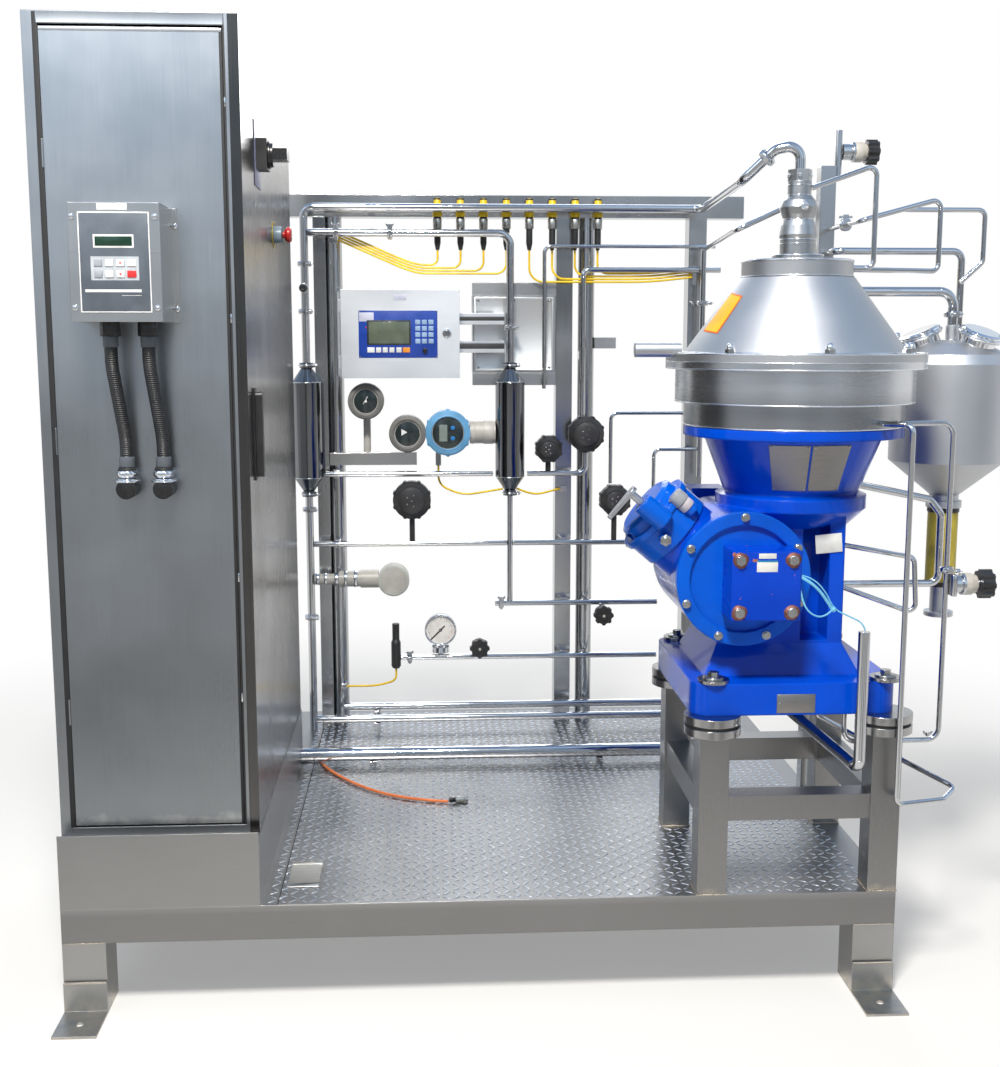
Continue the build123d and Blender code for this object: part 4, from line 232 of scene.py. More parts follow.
def smooth_line(name, points, radius, sides):
    """Round line along a smooth run of points."""
    curve = bpy.data.curves.new(name, "CURVE")
    curve.dimensions = "3D"
    run = curve.splines.new("NURBS")
    run.points.add(len(points) - 1)
    for spot, point in zip(run.points, points):
        spot.co = (*point, 1)
    run.order_u = 3
    run.use_endpoint_u = True
    run.resolution_u = 12
    curve.bevel_depth = radius
    curve.bevel_resolution = sides
    curve.use_fill_caps = True
    line = bpy.data.objects.new(name, curve)
    bpy.context.collection.objects.link(line)
    return line


lead_z = 0.2588
lead_thickness = 0.008
lead_points = [(x, y, lead_z) for x, y in ((-0.5217, 0.25), (-0.47, 0.25), (-0.44, 0.16), (-0.366, 0.038),
                                           (-0.268, -0.073), (-0.151, -0.136), (-0.075, -0.15))]
lead = smooth_line("deck_lead", lead_points, lead_thickness / 2, 6)
lead.data.materials.append(moulded("orange_jacket", (0.80, 0.20, 0.05), 0.38, 1400, 0.10))
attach(lead, "skid")
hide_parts("deck_cable")

lead_end = Vector((-0.073, -0.1496, 0.2623))
lead_way = Vector((0.065, 0.0096, 0)).normalized()
nut_finish = steel("connector_nickel", (0.42, 0.40, 0.36), 0.28, (500, 500, 500), 0.1, 0.2)
sleeve = disc(lead_end, lead_way, 0.0062, 0.018, ((0.0006, 0.002), (0, 0.002)), 24)
settle(sleeve, "lead_sleeve", "skid", moulded("connector_black", (0.02, 0.02, 0.021), 0.35), 0.0005)
collar = disc(lead_end + lead_way * 0.018, lead_way, 0.0085, 0.026,
              ((0.0012, 0.0015), (0, 0.008), (0.0012, 0), (0, -0.006)), 18)
settle(collar, "lead_nut", "skid", nut_finish, 0.0006, 20)
right = (1, 0, 0)
grommet = disc(lead_points[0], right, 0.0085, 0.003, ((0.0022, 0.009), (0.0008, 0.009)), 24)
settle(grommet, "lead_grommet", "skid", moulded("grommet_rubber", (0.03, 0.03, 0.03), 0.6), 0.0006)


# Studio: a pale floor that turns white away from the skid and a white surround under a blue sky. Metal
# facing the front mirrors darker lanes on the floor and strips above them. Three soft lamps stand for the
# sun and the open sky.
def background_rays(tree):
    """Light path, and a 1 for rays that show the background: seen, mirrored or through glass."""
    rays = new_node(tree, "LightPath", {}).outputs
    open_rays = computed(tree, "MAXIMUM", rays["Is Camera Ray"], rays["Is Glossy Ray"])
    return rays, computed(tree, "MAXIMUM", open_rays, rays["Is Transmission Ray"])


floor = added(bpy.ops.mesh.primitive_plane_add, size=80, location=(0, 0, 0))
floor.name = "floor"
floor_finish, tree, shade, place = new_finish("floor_finish")
lift = new_node(tree, "Bump", {"Height": noise(tree, place, 40), "Strength": 0.05, "Distance": 0.001})
wired(shade, {"Base Color": (0.88, 0.88, 0.87, 1), "Roughness": 0.85, "Normal": lift.outputs[0]})
distance = new_node(tree, "VectorMath", {0: place}, operation="LENGTH").outputs["Value"]
away = ranged(tree, distance, (1.4, 3.6), (0.30, 1.0), "SMOOTHSTEP")
lanes = new_node(tree, "TexWave", {"Vector": place, "Scale": 0.20}).outputs["Fac"]
depth_in_view = new_node(tree, "SeparateXYZ", {0: place}).outputs["Y"]
near = ranged(tree, depth_in_view, (-1.5, -2.5), step="SMOOTHSTEP")
rays, shows_white = background_rays(tree)
mirrored = computed(tree, "MULTIPLY", near, rays["Is Glossy Ray"])
level = new_node(tree, "Mix", {0: mirrored, 2: 1.0, 3: ranged(tree, lanes, result=(0.22, 0.85))}).outputs[0]
white = new_node(tree, "Emission", {"Strength": level}).outputs[0]
share = computed(tree, "MULTIPLY", shows_white, away)
mix_floor = new_node(tree, "MixShader", {"Fac": share, 1: shade.outputs[0], 2: white}).outputs[0]
wired(tree.nodes["Material Output"], {"Surface": mix_floor})
floor.data.materials.append(floor_finish)

sky = bpy.context.scene.world or bpy.data.worlds.new("sky")
bpy.context.scene.world = sky
sky.use_nodes = True
tree = sky.node_tree
tree.nodes.clear()
rays, shows_sky = background_rays(tree)
ambient = new_node(tree, "Background", {"Color": (0.92, 0.96, 1.0, 1), "Strength": 0.15}).outputs[0]
way = new_node(tree, "SeparateXYZ", {0: new_node(tree, "TexCoord", {}).outputs["Generated"]}).outputs
height = computed(tree, "MULTIPLY_ADD", way["Z"], 0.5, 0.5)
open_sky = graded(tree, height, ((0.0, (0.5, 0.5, 0.5)), (0.42, (1, 1, 1)), (0.635, (1, 1, 1)),
                                 (0.72, (0.60, 0.74, 0.92)), (1.0, (0.20, 0.36, 0.66))))
bearing = computed(tree, "ARCTAN2", way["X"], computed(tree, "MULTIPLY", way["Y"], -1.0))
strip_levels = ((0.0, 1.0), (0.06, 0.25), (0.14, 0.62), (0.24, 0.75), (0.29, 0.18), (0.36, 0.30),
                (0.40, 1.0), (0.46, 1.0), (0.49, 0.30), (0.53, 0.18), (0.56, 0.85), (0.66, 1.0),
                (0.71, 0.20), (0.78, 0.25), (0.82, 0.95), (0.92, 0.90), (0.96, 0.30), (1.0, 1.0))
strips = graded(tree, ranged(tree, bearing, (-1.8, 1.8)),
                [(spot, [brightness] * 3) for spot, brightness in strip_levels], "B_SPLINE")
bank = graded(tree, height, ((0.40, (0.34, 0.33, 0.31)), (0.50, (0.20, 0.20, 0.20)),
                             (0.56, (0.47, 0.56, 0.68)), (0.62, (0.66, 0.82, 1.0)),
                             (0.76, (0.62, 0.79, 1.0)), (1.0, (0.36, 0.50, 0.75))))
lit_bank = new_node(tree, "VectorMath", {0: bank, "Scale": ranged(tree, strips, result=(0.15, 1.5))},
                    operation="SCALE").outputs[0]
behind = ranged(tree, way["Y"], (-0.30, 0.25), step="SMOOTHSTEP")
plain = computed(tree, "MAXIMUM", behind, rays["Is Camera Ray"])
backdrop = new_node(tree, "Background", {"Color": mixed(tree, plain, lit_bank, open_sky)}).outputs[0]
blend_sky = new_node(tree, "MixShader", {"Fac": shows_sky, 1: ambient, 2: backdrop}).outputs[0]
new_node(tree, "OutputWorld", {0: blend_sky})

for name, spot, aim, size, power, tint in (
        ("sun_panel", (-0.45, -3.2, 4.9), (0.1, -0.2, 1.0), 0.8, 330, (1.0, 0.96, 0.9)),
        ("sky_panel", (-3.0, -2.4, 3.8), (-0.3, 0, 1.0), 2.6, 30, (0.86, 0.92, 1.0)),
        ("rear_panel", (0.5, 3.4, 3.6), (0.1, 0.2, 1.2), 2.4, 80, (1.0, 1.0, 1.0))):
    bpy.ops.object.light_add(type="AREA", location=spot)
    lamp = bpy.context.object
    lamp.name = name
    lamp.data.size = size
    lamp.data.energy = power
    lamp.data.color = tint
    lamp.rotation_euler = (Vector(aim) - Vector(spot)).to_track_quat("-Z", "Y").to_euler()

bpy.context.scene.view_settings.view_transform = "Standard"


# Skid frame and legs: welded box section in brushed stainless steel with the grain along each bar. The
# joints carry rippled weld beads, and the lower leg ends show heat tint.
def dress(material, *names):
    """Give CAD nodes their finish."""
    for name in names:
        for socket in nodes[name].material_slots:
            socket.material = material


def slab(low, high):
    """Plain block between two corners, ready to be shaped."""
    low, high = Vector(low), Vector(high)
    piece = added(bpy.ops.mesh.primitive_cube_add, size=1, location=(low + high) / 2)
    piece.scale = high - low
    return piece


def joined(pieces):
    """Several shaped pieces made one."""
    bpy.ops.object.select_all(action="DESELECT")
    for piece in pieces:
        piece.select_set(True)
    bpy.context.view_layer.objects.active = pieces[0]
    bpy.ops.object.join()
    return pieces[0]


def weld(start, end, radius=0.0022):
    """Rippled bead: small overlapping drops along a joint."""
    start, end = Vector(start), Vector(end)
    count = max(2, int((end - start).length / (radius * 1.3)))
    drop = added(bpy.ops.mesh.primitive_ico_sphere_add, subdivisions=1, radius=radius, location=start)
    drops = [drop]
    for n in range(1, count + 1):
        twin = drop.copy()
        twin.data = drop.data.copy()
        twin.matrix_world = Matrix.Translation((end - start) * n / count) @ drop.matrix_world
        bpy.context.collection.objects.link(twin)
        drops.append(twin)
    return joined(drops)


skid_low, skid_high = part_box("base_frame")
leg_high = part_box("frame_legs")[1].z
# Painted highlight: the top of the skid frame and its deck plate are painted lighter than the bars below.
frame_steel = steel("frame_steel", (0.225, 0.222, 0.218), 0.33, (8, 900, 900), 0.10, 0.08,
                    painted_top_light=(0.235, 0.252, 1.3))
leg_steel = steel("leg_steel", (0.34, 0.335, 0.325), 0.33, (900, 900, 8), 0.10, 0.10,
                  residue=(0.0, 0.11, (0.50, 0.45, 0.38)))
bead_steel = steel("bead_steel", (0.46, 0.40, 0.33), 0.3, (300, 300, 300), 0.3, 0.25)
dress(frame_steel, "base_frame")
dress(leg_steel, "frame_legs")
leg_width, bead_end = 0.10, 0.004
foot_z, foot_out = 0.0755, 0.0058
beads = []
for x in (skid_low.x, skid_high.x - leg_width):
    x0, x1, y = x + bead_end, x + leg_width - bead_end, skid_low.y - 0.0005
    beads.append(weld((x0, y, leg_high), (x1, y, leg_high)))
    beads.append(weld((x0, y - foot_out, foot_z), (x1, y - foot_out, foot_z), 0.003))
settle(joined(beads), "leg_welds", "skid", bead_steel)

# Tread plate: rolled sheet with raised lens-shaped marks that turn left and right in turn. The sheet is
# laid in two lengths, so a narrow joint runs beside the plinth.
deck_z = 0.253
mark_length, mark_width, mark_height, mark_pitch, mark_turn = 0.0125, 0.0030, 0.0014, 0.024, 38
marks = []
for column in (0, 1):
    for row in (0, 1):
        mark = added(bpy.ops.mesh.primitive_cone_add, vertices=8, radius1=1, radius2=0.45, depth=mark_height,
                     end_fill_type="TRIFAN", location=(column * mark_pitch, row * mark_pitch, 0))
        mark.scale = (mark_length, mark_width, 1)
        mark.rotation_euler.z = math.radians(mark_turn if column == row else -mark_turn)
        marks.append(mark)
tread = joined(marks)
in_mesh(tread)
tread.location = (-0.498, -0.790, deck_z + mark_height / 2)
for axis, count in ((0, 30), (1, 33)):
    rows = tread.modifiers.new("rows", "ARRAY")
    rows.use_relative_offset = False
    rows.use_constant_offset = True
    rows.constant_offset_displace = (2 * mark_pitch * (axis == 0), 2 * mark_pitch * (axis == 1), 0)
    rows.count = count
    bpy.ops.object.modifier_apply(modifier=rows.name)
# Painted highlight: the marks are painted far lighter than the sheet they stand on, for the light their tops
# catch.
tread_highlight_steel = steel("tread_highlight_steel", (0.70, 0.72, 0.76), 0.34, (120, 120, 120), 0.15, 0.15, patches=2.4)
settle(tread, "tread_marks", "skid", tread_highlight_steel, angle=20)
seam = slab((-0.484, -0.806, deck_z), (-0.4815, 0.60, deck_z + 0.0004))
settle(seam, "deck_seam", "skid", moulded("seam_dark", (0.02, 0.02, 0.022), 0.7))

# Bent cover plate: a loose strip of bright sheet folded over the deck's corner opening. It lies on the
# tread plate.
def faces_front(face):
    """True for a face that looks to the front."""
    return face.normal.y < -0.9


cover = slab((-0.470, -0.690, deck_z + 0.0015), (-0.395, -0.560, deck_z + 0.0035))
in_mesh(cover)
shaped(cover, faces_front, ((0, (0, -0.012, 0.004)), (0, (0, -0.010, -0.005))))
bright_sheet = steel("bright_sheet", (0.62, 0.60, 0.55), 0.34, (12, 200, 200), 0.2, 0.2)
settle(cover, "deck_cover", "skid", bright_sheet, 0.0008)

# Cabinet: folded sheet in brushed stainless steel with an upright grain, two doors of the same sheet, matte
# black strips of painted shadow in and beside the door gaps, and bright latch tongues.
# Painted reflection: the cabinet sheet and the front door are painted lighter towards the top, for the sky
# they mirror.
cabinet_steel = steel("cabinet_steel", (0.285, 0.295, 0.305), 0.34, (900, 900, 6), 0.08, 0.08,
                      painted_top_light=(0.75, 2.2, 1.6))
door_steel = steel("door_steel", (0.275, 0.288, 0.30), 0.33, (900, 900, 6), 0.08, 0.10,
                   residue=(0.435, 0.50, (0.55, 0.55, 0.54)), painted_top_light=(0.75, 2.2, 1.9))
# Painted shade: the side door is the cabinet's sheet in a much darker tone, for the shade on that side.
shaded_side_steel = steel("shaded_side_steel", (0.110, 0.106, 0.102), 0.24, (300, 420, 2.0), 0.12, 0.14)
gap_shadow_black = moulded("gap_shadow_black", (0.010, 0.010, 0.011), 0.7)
dress(cabinet_steel, "cabinet_shell", "door_hinges")
dress(door_steel, "front_door")
dress(shaded_side_steel, "main_door")
door_low, door_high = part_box("front_door")
front_y = door_low.y
gap_low, gap_high = door_low.z - 0.0045, 2.2425
# Painted shadow: matte black strips stand for the shadow in the door gaps and along the front door's right
# edge.
for side, x0, x1 in (("left", door_low.x - 0.0125, door_low.x - 0.0008),
                     ("right", door_high.x + 0.0010, door_high.x + 0.0052)):
    gap_shadow = slab((x0, front_y - 0.0006, gap_low), (x1, front_y + 0.010, gap_high))
    settle(gap_shadow, "door_gap_shadow_" + side, "skid", gap_shadow_black, 0.0004)
edge_shadow = slab((door_high.x - 0.0062, front_y - 0.0007, door_low.z),
                 (door_high.x, front_y + 0.0003, door_high.z))
settle(edge_shadow, "door_edge_shadow", "front_door_body", gap_shadow_black, 0.0003)

# Painted highlight: the rolled top edge of the front door is a far lighter steel than the door, for the light
# it catches.
fold_highlight_steel = steel("fold_highlight_steel", (0.66, 0.67, 0.68), 0.30, (200, 200, 200), 0.05, 0.05)
fold_height, fold_depth, fold_end = 0.0012, 0.0045, 0.001
top_fold = added(bpy.ops.mesh.primitive_cylinder_add, vertices=16, radius=1,
                 depth=door_high.x - door_low.x - 2 * fold_end)
fold_place = Vector(((door_low.x + door_high.x) / 2, front_y, door_high.z - 0.005))
top_fold.matrix_world = (Matrix.Translation(fold_place) @ facing(right)
                         @ Matrix.Diagonal((fold_height, fold_depth, 1, 1)))
settle(top_fold, "door_top_fold", "front_door_body", fold_highlight_steel)
chrome = steel("chrome", (0.74, 0.74, 0.75), 0.10, (300, 300, 300), 0.03, 0.06)
latches = []
for z in (0.74, 1.02, 1.60, 2.06):
    latches.append(slab((door_high.x + 0.0012, front_y - 0.0016, z - 0.010),
                        (door_high.x + 0.0050, front_y, z + 0.010)))
settle(joined(latches), "door_latches", "skid", chrome, 0.0008)
lip = slab((door_low.x - 0.004, door_low.y - 0.0016, door_high.z + 0.0055),
           (door_high.x + 0.004, door_low.y + 0.0005, 2.2445))
in_mesh(lip)
shaped(lip, faces_front, ((0.002, (0, 0, 0)),), sink=-0.0006)
settle(lip, "cabinet_lip", "skid", cabinet_steel, 0.0008)

# Side door furniture: black swing handle, isolator on a bare pale plate, and an emergency-stop button in
# a grey-blue collar on a thin yellow ring.
black_plastic = moulded("black_plastic", (0.018, 0.018, 0.019), 0.42)
black_gloss = moulded("black_gloss", (0.014, 0.014, 0.015), 0.25, 700, 0.06)
dress(black_plastic, "door_handle", "switch_bases")
dress(black_gloss, "isolator_knob")
dress(moulded("red_plastic", (0.42, 0.012, 0.012), 0.26, 700, 0.05), "estop_button")
side_x = -0.524
isolator_y, isolator_z = -0.495, 1.985
stop_y, stop_z = -0.180, 1.824
violet = moulded("violet_plate", (0.36, 0.37, 0.58), 0.30, 300, 0.04)
plate = slab((side_x + 0.0012, isolator_y - 0.055, isolator_z - 0.075),
             (side_x + 0.0021, isolator_y + 0.055, isolator_z + 0.075))
settle(plate, "isolator_plate", "side_door_body", violet, 0.0004)
knob_ring = disc((side_x + 0.0278, isolator_y, isolator_z), right, 0.031, 0.005,
                 ((0.002, 0.0015), (0.003, -0.001)))
settle(knob_ring, "isolator_ring", "side_door_body", black_gloss, 0.0005)
yellow = moulded("yellow_plate", (0.80, 0.62, 0.04), 0.4, 300, 0.05)
yellow_ring = disc((side_x + 0.0006, stop_y, stop_z), right, 0.034, 0.0012, ((0.003, -0.0004),), 48)
settle(yellow_ring, "estop_ring", "side_door_body", yellow, 0.0002)
grey_blue = moulded("grey_blue", (0.20, 0.27, 0.34), 0.3, 400, 0.05)
guard = disc((side_x + 0.0015, stop_y, stop_z), right, 0.0212, 0.021, ((0.0015, 0.0006), (0.0022, -0.0006)))
settle(guard, "estop_guard", "side_door_body", grey_blue, 0.0006)

# Drive box on the front door: a stainless enclosure with a slate keypad plate, white rules and bare
# labels, a display, eight membrane keys, four dome screws and two flange screws.
drive_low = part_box("drive_box")[0]
dress(steel("drive_steel", (0.52, 0.52, 0.51), 0.30, (900, 900, 12), 0.10, 0.06), "drive_box")
drive_front, face_y = -0.8980, -0.8995
pad_x0, pad_x1, pad_z0, pad_z1, pad_rim = -0.8475, -0.7005, 1.6105, 1.8165, 0.0024
slate = moulded("slate_plate", (0.105, 0.125, 0.155), 0.36, 300, 0.03)
white_ink = moulded("white_ink", (0.80, 0.81, 0.82), 0.42, 300, 0.03)
label_white = moulded("label_white", (0.72, 0.73, 0.71), 0.5, 200, 0.06)
lcd_green = moulded("lcd_green", (0.012, 0.045, 0.028), 0.12, 60, 0.0)
pale_bed = moulded("pale_bed", (0.46, 0.50, 0.54), 0.4, 300, 0.03)


def raised(x0, x1, z0, z1, inner, outer, y=face_y):
    """Thin plate that looks to the front and stands between two distances before a face."""
    return slab((x0, y - outer, z0), (x1, y - inner, z1))


border = raised(pad_x0, pad_x1, pad_z0, pad_z1, -0.0003, 0.0002)
settle(border, "keypad_border", "front_door_body", white_ink)
plate = raised(pad_x0 + pad_rim, pad_x1 - pad_rim, pad_z0 + pad_rim, pad_z1 - pad_rim, 0, 0.0006)
settle(plate, "keypad_plate", "front_door_body", slate, 0.0002)
rules = [raised(-0.817, -0.7335, 1.7430, 1.7705, 0.0004, 0.0012),
         raised(-0.837, -0.721, 1.6520, 1.6578, 0.0005, 0.0009),
         raised(-0.762, -0.721, 1.6450, 1.6458, 0.0005, 0.0009),
         raised(-0.8075, -0.7455, 1.8205, 1.8335, -0.0002, 0.0005, drive_front)]
settle(joined(rules), "keypad_rules", "front_door_body", white_ink, 0.0001)
window = raised(-0.8135, -0.7370, 1.7470, 1.7665, 0.0010, 0.0015)
settle(window, "drive_display", "front_door_body", lcd_green, 0.0002)
bed = raised(-0.8235, -0.7245, 1.6765, 1.7255, 0.0005, 0.0010)
settle(bed, "key_bed", "front_door_body", pale_bed)
key_x = (-0.8085, -0.7855, -0.7625, -0.7395)
key_z = (1.7125, 1.6895)
key_finish = {"white": moulded("key_white", (0.76, 0.77, 0.78), 0.35, 300, 0.05),
              "grey": moulded("key_grey", (0.32, 0.35, 0.39), 0.35, 300, 0.05),
              "red": moulded("key_red", (0.62, 0.03, 0.03), 0.35, 300, 0.05)}
caps = {"white": [], "grey": [], "red": []}
for column, x in enumerate(key_x):
    for row, z in enumerate(key_z):
        half = 0.0082 if column < 3 else 0.0093
        colour = "grey" if column == 0 else "red" if (column, row) == (3, 1) else "white"
        caps[colour].append(raised(x - half, x + half, z - 0.0070, z + 0.0070, 0.0006, 0.0029))
for colour, finish in key_finish.items():
    settle(joined(caps[colour]), "keys_" + colour, "front_door_body", finish, 0.0006)
arrows = []
for z, spin in ((key_z[0], 0), (key_z[1], 180)):
    arrow = added(bpy.ops.mesh.primitive_cylinder_add, vertices=3, radius=0.0034, depth=0.0006)
    arrow.matrix_world = (Matrix.Translation((key_x[2], face_y - 0.0030, z))
                          @ Matrix.Rotation(math.radians(spin), 4, "Y")
                          @ Matrix.Rotation(math.radians(90), 4, "X"))
    arrows.append(arrow)
settle(joined(arrows), "key_arrows", "front_door_body", key_finish["red"], 0.0001)

front = (0, -1, 0)


def dome_screw(x, y, z, radius):
    """Screw with a domed head that looks to the front; a doubled edge leaves a crease round its top."""
    head = disc((x, y, z), front, radius, radius * 0.35,
                ((radius * 0.18, radius * 0.16), (radius * 0.25, radius * 0.1)), 24)
    bpy.ops.object.mode_set(mode="EDIT")
    bpy.ops.mesh.inset(thickness=radius * 0.28, depth=0)
    bpy.ops.mesh.extrude_region_move(TRANSFORM_OT_translate={"value": (0, 0, 0)})
    bpy.ops.object.mode_set(mode="OBJECT")
    return head


screws = [dome_screw(x, drive_front, z, 0.0062) for x in (-0.8600, -0.6890) for z in (1.6200, 1.8070)]
screws += [dome_screw(x, -0.7710, z, 0.0062) for x in (-0.6715, -0.8765) for z in (1.6200, 1.7980)]
settle(joined(screws), "drive_screws", "front_door_body", chrome, 0.0003)
# Painted reflection: a thin bright line across the box front on both sides of the keypad.
reflection_lines = [raised(x0, x1, 1.7340, 1.7350, 0, 0.0006, drive_front)
          for x0, x1 in ((drive_low.x + 0.013, pad_x0), (pad_x1, -0.6790))]
settle(joined(reflection_lines), "drive_reflection_lines", "front_door_body", chrome)


# Drive conduits: black ribbed hose between grey sleeves, with polished bulb nuts above the black elbows.
def ribbed(name, colour, pitch):
    """Corrugated hose: even ribs along its length."""
    finish = moulded(name, colour, 0.42)
    tree = finish.node_tree
    place = new_node(tree, "TexCoord", {}).outputs["Object"]
    ribs = new_node(tree, "TexWave", {"Vector": place, "Scale": 0.314 / pitch}, bands_direction="Z")
    lift = new_node(tree, "Bump", {"Height": ribs.outputs["Fac"], "Strength": 0.9, "Distance": 0.0012})
    wired(tree.nodes["Principled BSDF"], {"Normal": lift.outputs[0]})
    return finish


up = (0, 0, 1)
dress(ribbed("ribbed_hose", (0.011, 0.011, 0.012), 0.0045), "drive_conduits")
grey_sleeve = moulded("grey_sleeve", (0.10, 0.115, 0.135), 0.4)
top_y, low_y = -0.836, -0.798
sleeves, nuts, caps = [], [], []
for x_top in (-0.804, -0.724):
    x_low = x_top + 0.0155
    caps.append(disc((x_top, top_y, 1.562), up, 0.0222, 0.0285, ((0.002, 0.0005),), 12))
    caps.append(disc((x_low, -0.8200, 1.228), front, 0.0215, 0.0008, ((0.002, 0.0016), (0.006, 0.0008)), 28))
    sleeves.append(disc((x_top, top_y, 1.538), up, 0.0166, 0.0235, ((0.001, 0.0005),), 28))
    sleeves.append(disc((x_low, low_y, 1.276), up, 0.0166, 0.022, ((0.001, 0.0005),), 28))
    bulb = added(bpy.ops.mesh.primitive_uv_sphere_add, segments=28, ring_count=14, radius=1,
                 location=(x_low, low_y, 1.2610))
    bulb.scale = (0.0240, 0.0240, 0.0145)
    nuts.append(bulb)
    nuts.append(disc((x_low, low_y, 1.2430), up, 0.0285, 0.0035, ((0.001, 0.0006), (0.004, 0.003)), 32))
settle(joined(sleeves), "conduit_sleeves", "front_door_body", grey_sleeve, 0.0006)
settle(joined(nuts), "conduit_nuts", "front_door_body", chrome, 0.0008, 50)
settle(joined(caps), "conduit_caps", "front_door_body", black_gloss, 0.0008)

# Switchgear inside the cabinet: pale grey modules with dark fronts; its terminals and plate take the same
# grey.
dress(moulded("module_grey", (0.42, 0.44, 0.45), 0.45), "switchgear")
gear_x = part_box("switchgear")[1].x
first_module, module_pitch = -0.633, 0.15
fronts = []
for z in (1.950, 1.560, 1.180, 0.800):
    for n in range(5):
        y = first_module + n * module_pitch
        for proud, y0, y1, z0, z1 in ((0.0020, 0.010, 0.100, 0.090, 0.135),
                                      (0.0040, 0.035, 0.075, 0.025, 0.065)):
            fronts.append(slab((gear_x - 0.0002, y + y0, z + z0), (gear_x + proud, y + y1, z + z1)))
settle(joined(fronts), "module_fronts", "skid", black_plastic, 0.0008)

# Separator stand and feet: brushed box section welded to the deck, round steel pads with a rubber ring
# between them, and stacked washers under the foot bolts.
stand_steel = steel("stand_steel", (0.25, 0.245, 0.24), 0.31, (900, 900, 8), 0.10, 0.08,
                    residue=(0.25, 0.30, (0.42, 0.38, 0.30)))
zinc = steel("zinc_steel", (0.44, 0.44, 0.43), 0.26, (160, 160, 160), 0.15, 0.16, patches=14)
dress(stand_steel, "stand_frame")
dress(steel("pad_steel", (0.36, 0.355, 0.35), 0.22, (10, 10, 900), 0.1, 0.1), "pad_plates")
dress(moulded("black_rubber", (0.025, 0.025, 0.025), 0.6), "pad_rubbers")
dress(zinc, "machine_bolts")
stand_low, stand_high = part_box("stand_frame")
post, out = 0.070, 0.0005
bead_z, washer_z = deck_z + 0.0012, 0.7708
beads, collars = [], []
for x in (stand_low.x, stand_high.x - post):
    for y in (stand_low.y, stand_high.y - post):
        beads.append(weld((x - out, y - out, bead_z), (x + post + out, y - out, bead_z), 0.0025))
        beads.append(weld((x - out, y, bead_z), (x - out, y + post, bead_z), 0.0025))
        collars.append(disc((x + post / 2, y + post / 2, washer_z), up, 0.0250, 0.0045,
                            ((0.002, 0.0008), (0.006, 0.0006)), 36))
settle(joined(beads), "stand_welds", "skid", bead_steel)
settle(joined(collars), "foot_washers", "skid", zinc, 0.0005)


# Machine frame, gear cover, drive flange, brake and motor: iron castings under a thick royal-blue gloss
# enamel, with the casting's soft ripple and small chips that show red primer.
def enamel(name, colour, rough, ripple=26, depth=0.35, chips=0.0):
    """Gloss paint on a casting, with the casting's soft ripple under it."""
    finish, tree, shade, place = new_finish(name)
    clouds = noise(tree, place, 6, 5.0)
    tone = graded(tree, clouds, ((0.3, [c * 0.8 for c in colour]),
                                 (0.7, [min(1.0, c * 1.1) for c in colour])))
    if chips:
        bare = ranged(tree, noise(tree, place, 46, 7.0), (0.74 - chips, 0.76 - chips))
        tone = mixed(tree, bare, tone, (0.36, 0.13, 0.08, 1))
    edge = new_node(tree, "Bevel", {"Radius": 0.007}, samples=6)
    swell = noise(tree, place, ripple, 3.0)
    lift = new_node(tree, "Bump", {"Normal": edge.outputs["Normal"], "Height": swell, "Strength": depth,
                                   "Distance": 0.0012})
    wired(shade, {"Base Color": tone, "Normal": lift.outputs[0],
                  "Roughness": ranged(tree, clouds, result=(rough - 0.06, rough + 0.12)),
                  "Specular IOR Level": 0.14, "Coat Weight": 0.20, "Coat Roughness": 0.03})
    return finish


blue = (0.0, 0.068, 0.60)
dress(enamel("frame_enamel", blue, 0.17), "machine_frame")
dress(enamel("brake_enamel", (0.0, 0.105, 0.62), 0.18, chips=0.02), "brake_housing")
dress(enamel("motor_enamel", blue, 0.26), "motor_body")
dress(enamel("cover_enamel", (0.0, 0.100, 0.62), 0.34, 60, 0.2), "gear_cover")
dress(enamel("block_enamel", (0.0, 0.050, 0.54), 0.24, 40, 0.3, chips=0.06), "drive_flange")

# Drive flange block: worn copper-coloured rings round its four bolts, two bare labels, and a pale lanyard
# that hangs from the block to the drain bend.
block_x, block_y, block_z = 0.638, -0.840, 1.000
bolt_out, cover_x, cover_z, cover_radius = 0.0605, 0.606, 1.002, 0.145
copper = steel("worn_copper", (0.24, 0.10, 0.08), 0.5, (200, 200, 200), 0.4, 0.35, 0.6)
label_blue = moulded("label_blue", (0.02, 0.22, 0.42), 0.45)
wear, washers = [], []
for dx in (-bolt_out, bolt_out):
    for dz in (-bolt_out, bolt_out):
        bolt = Vector((block_x + dx, block_y, block_z + dz))
        wear.append(disc(bolt, front, 0.0178, 0.0005, ((0.0035, 0.0002),), 11))
        for turned, out, radius in ((0.4, 0.0060, 0.0135), (2.6 + dx * 8, 0.0068, 0.0125),
                                    (4.4 + dz * 9, 0.0058, 0.0140)):
            off_centre = Vector((out * math.cos(turned), 0, out * math.sin(turned)))
            wear.append(disc(bolt + off_centre, front, radius, 0.0004, ((0.0025, 0.0002),), 9))
        washers.append(disc(bolt - Vector((0, 0.0006, 0)), front, 0.0112, 0.0016, ((0.001, 0.0003),), 32))
settle(joined(wear), "bolt_wear", "skid", copper, 0.0001, 60)


def on_circle(x, y, z, radius, degrees):
    """Point on an upright circle that looks to the front."""
    turned = math.radians(degrees)
    return x + radius * math.cos(turned), y, z + radius * math.sin(turned)


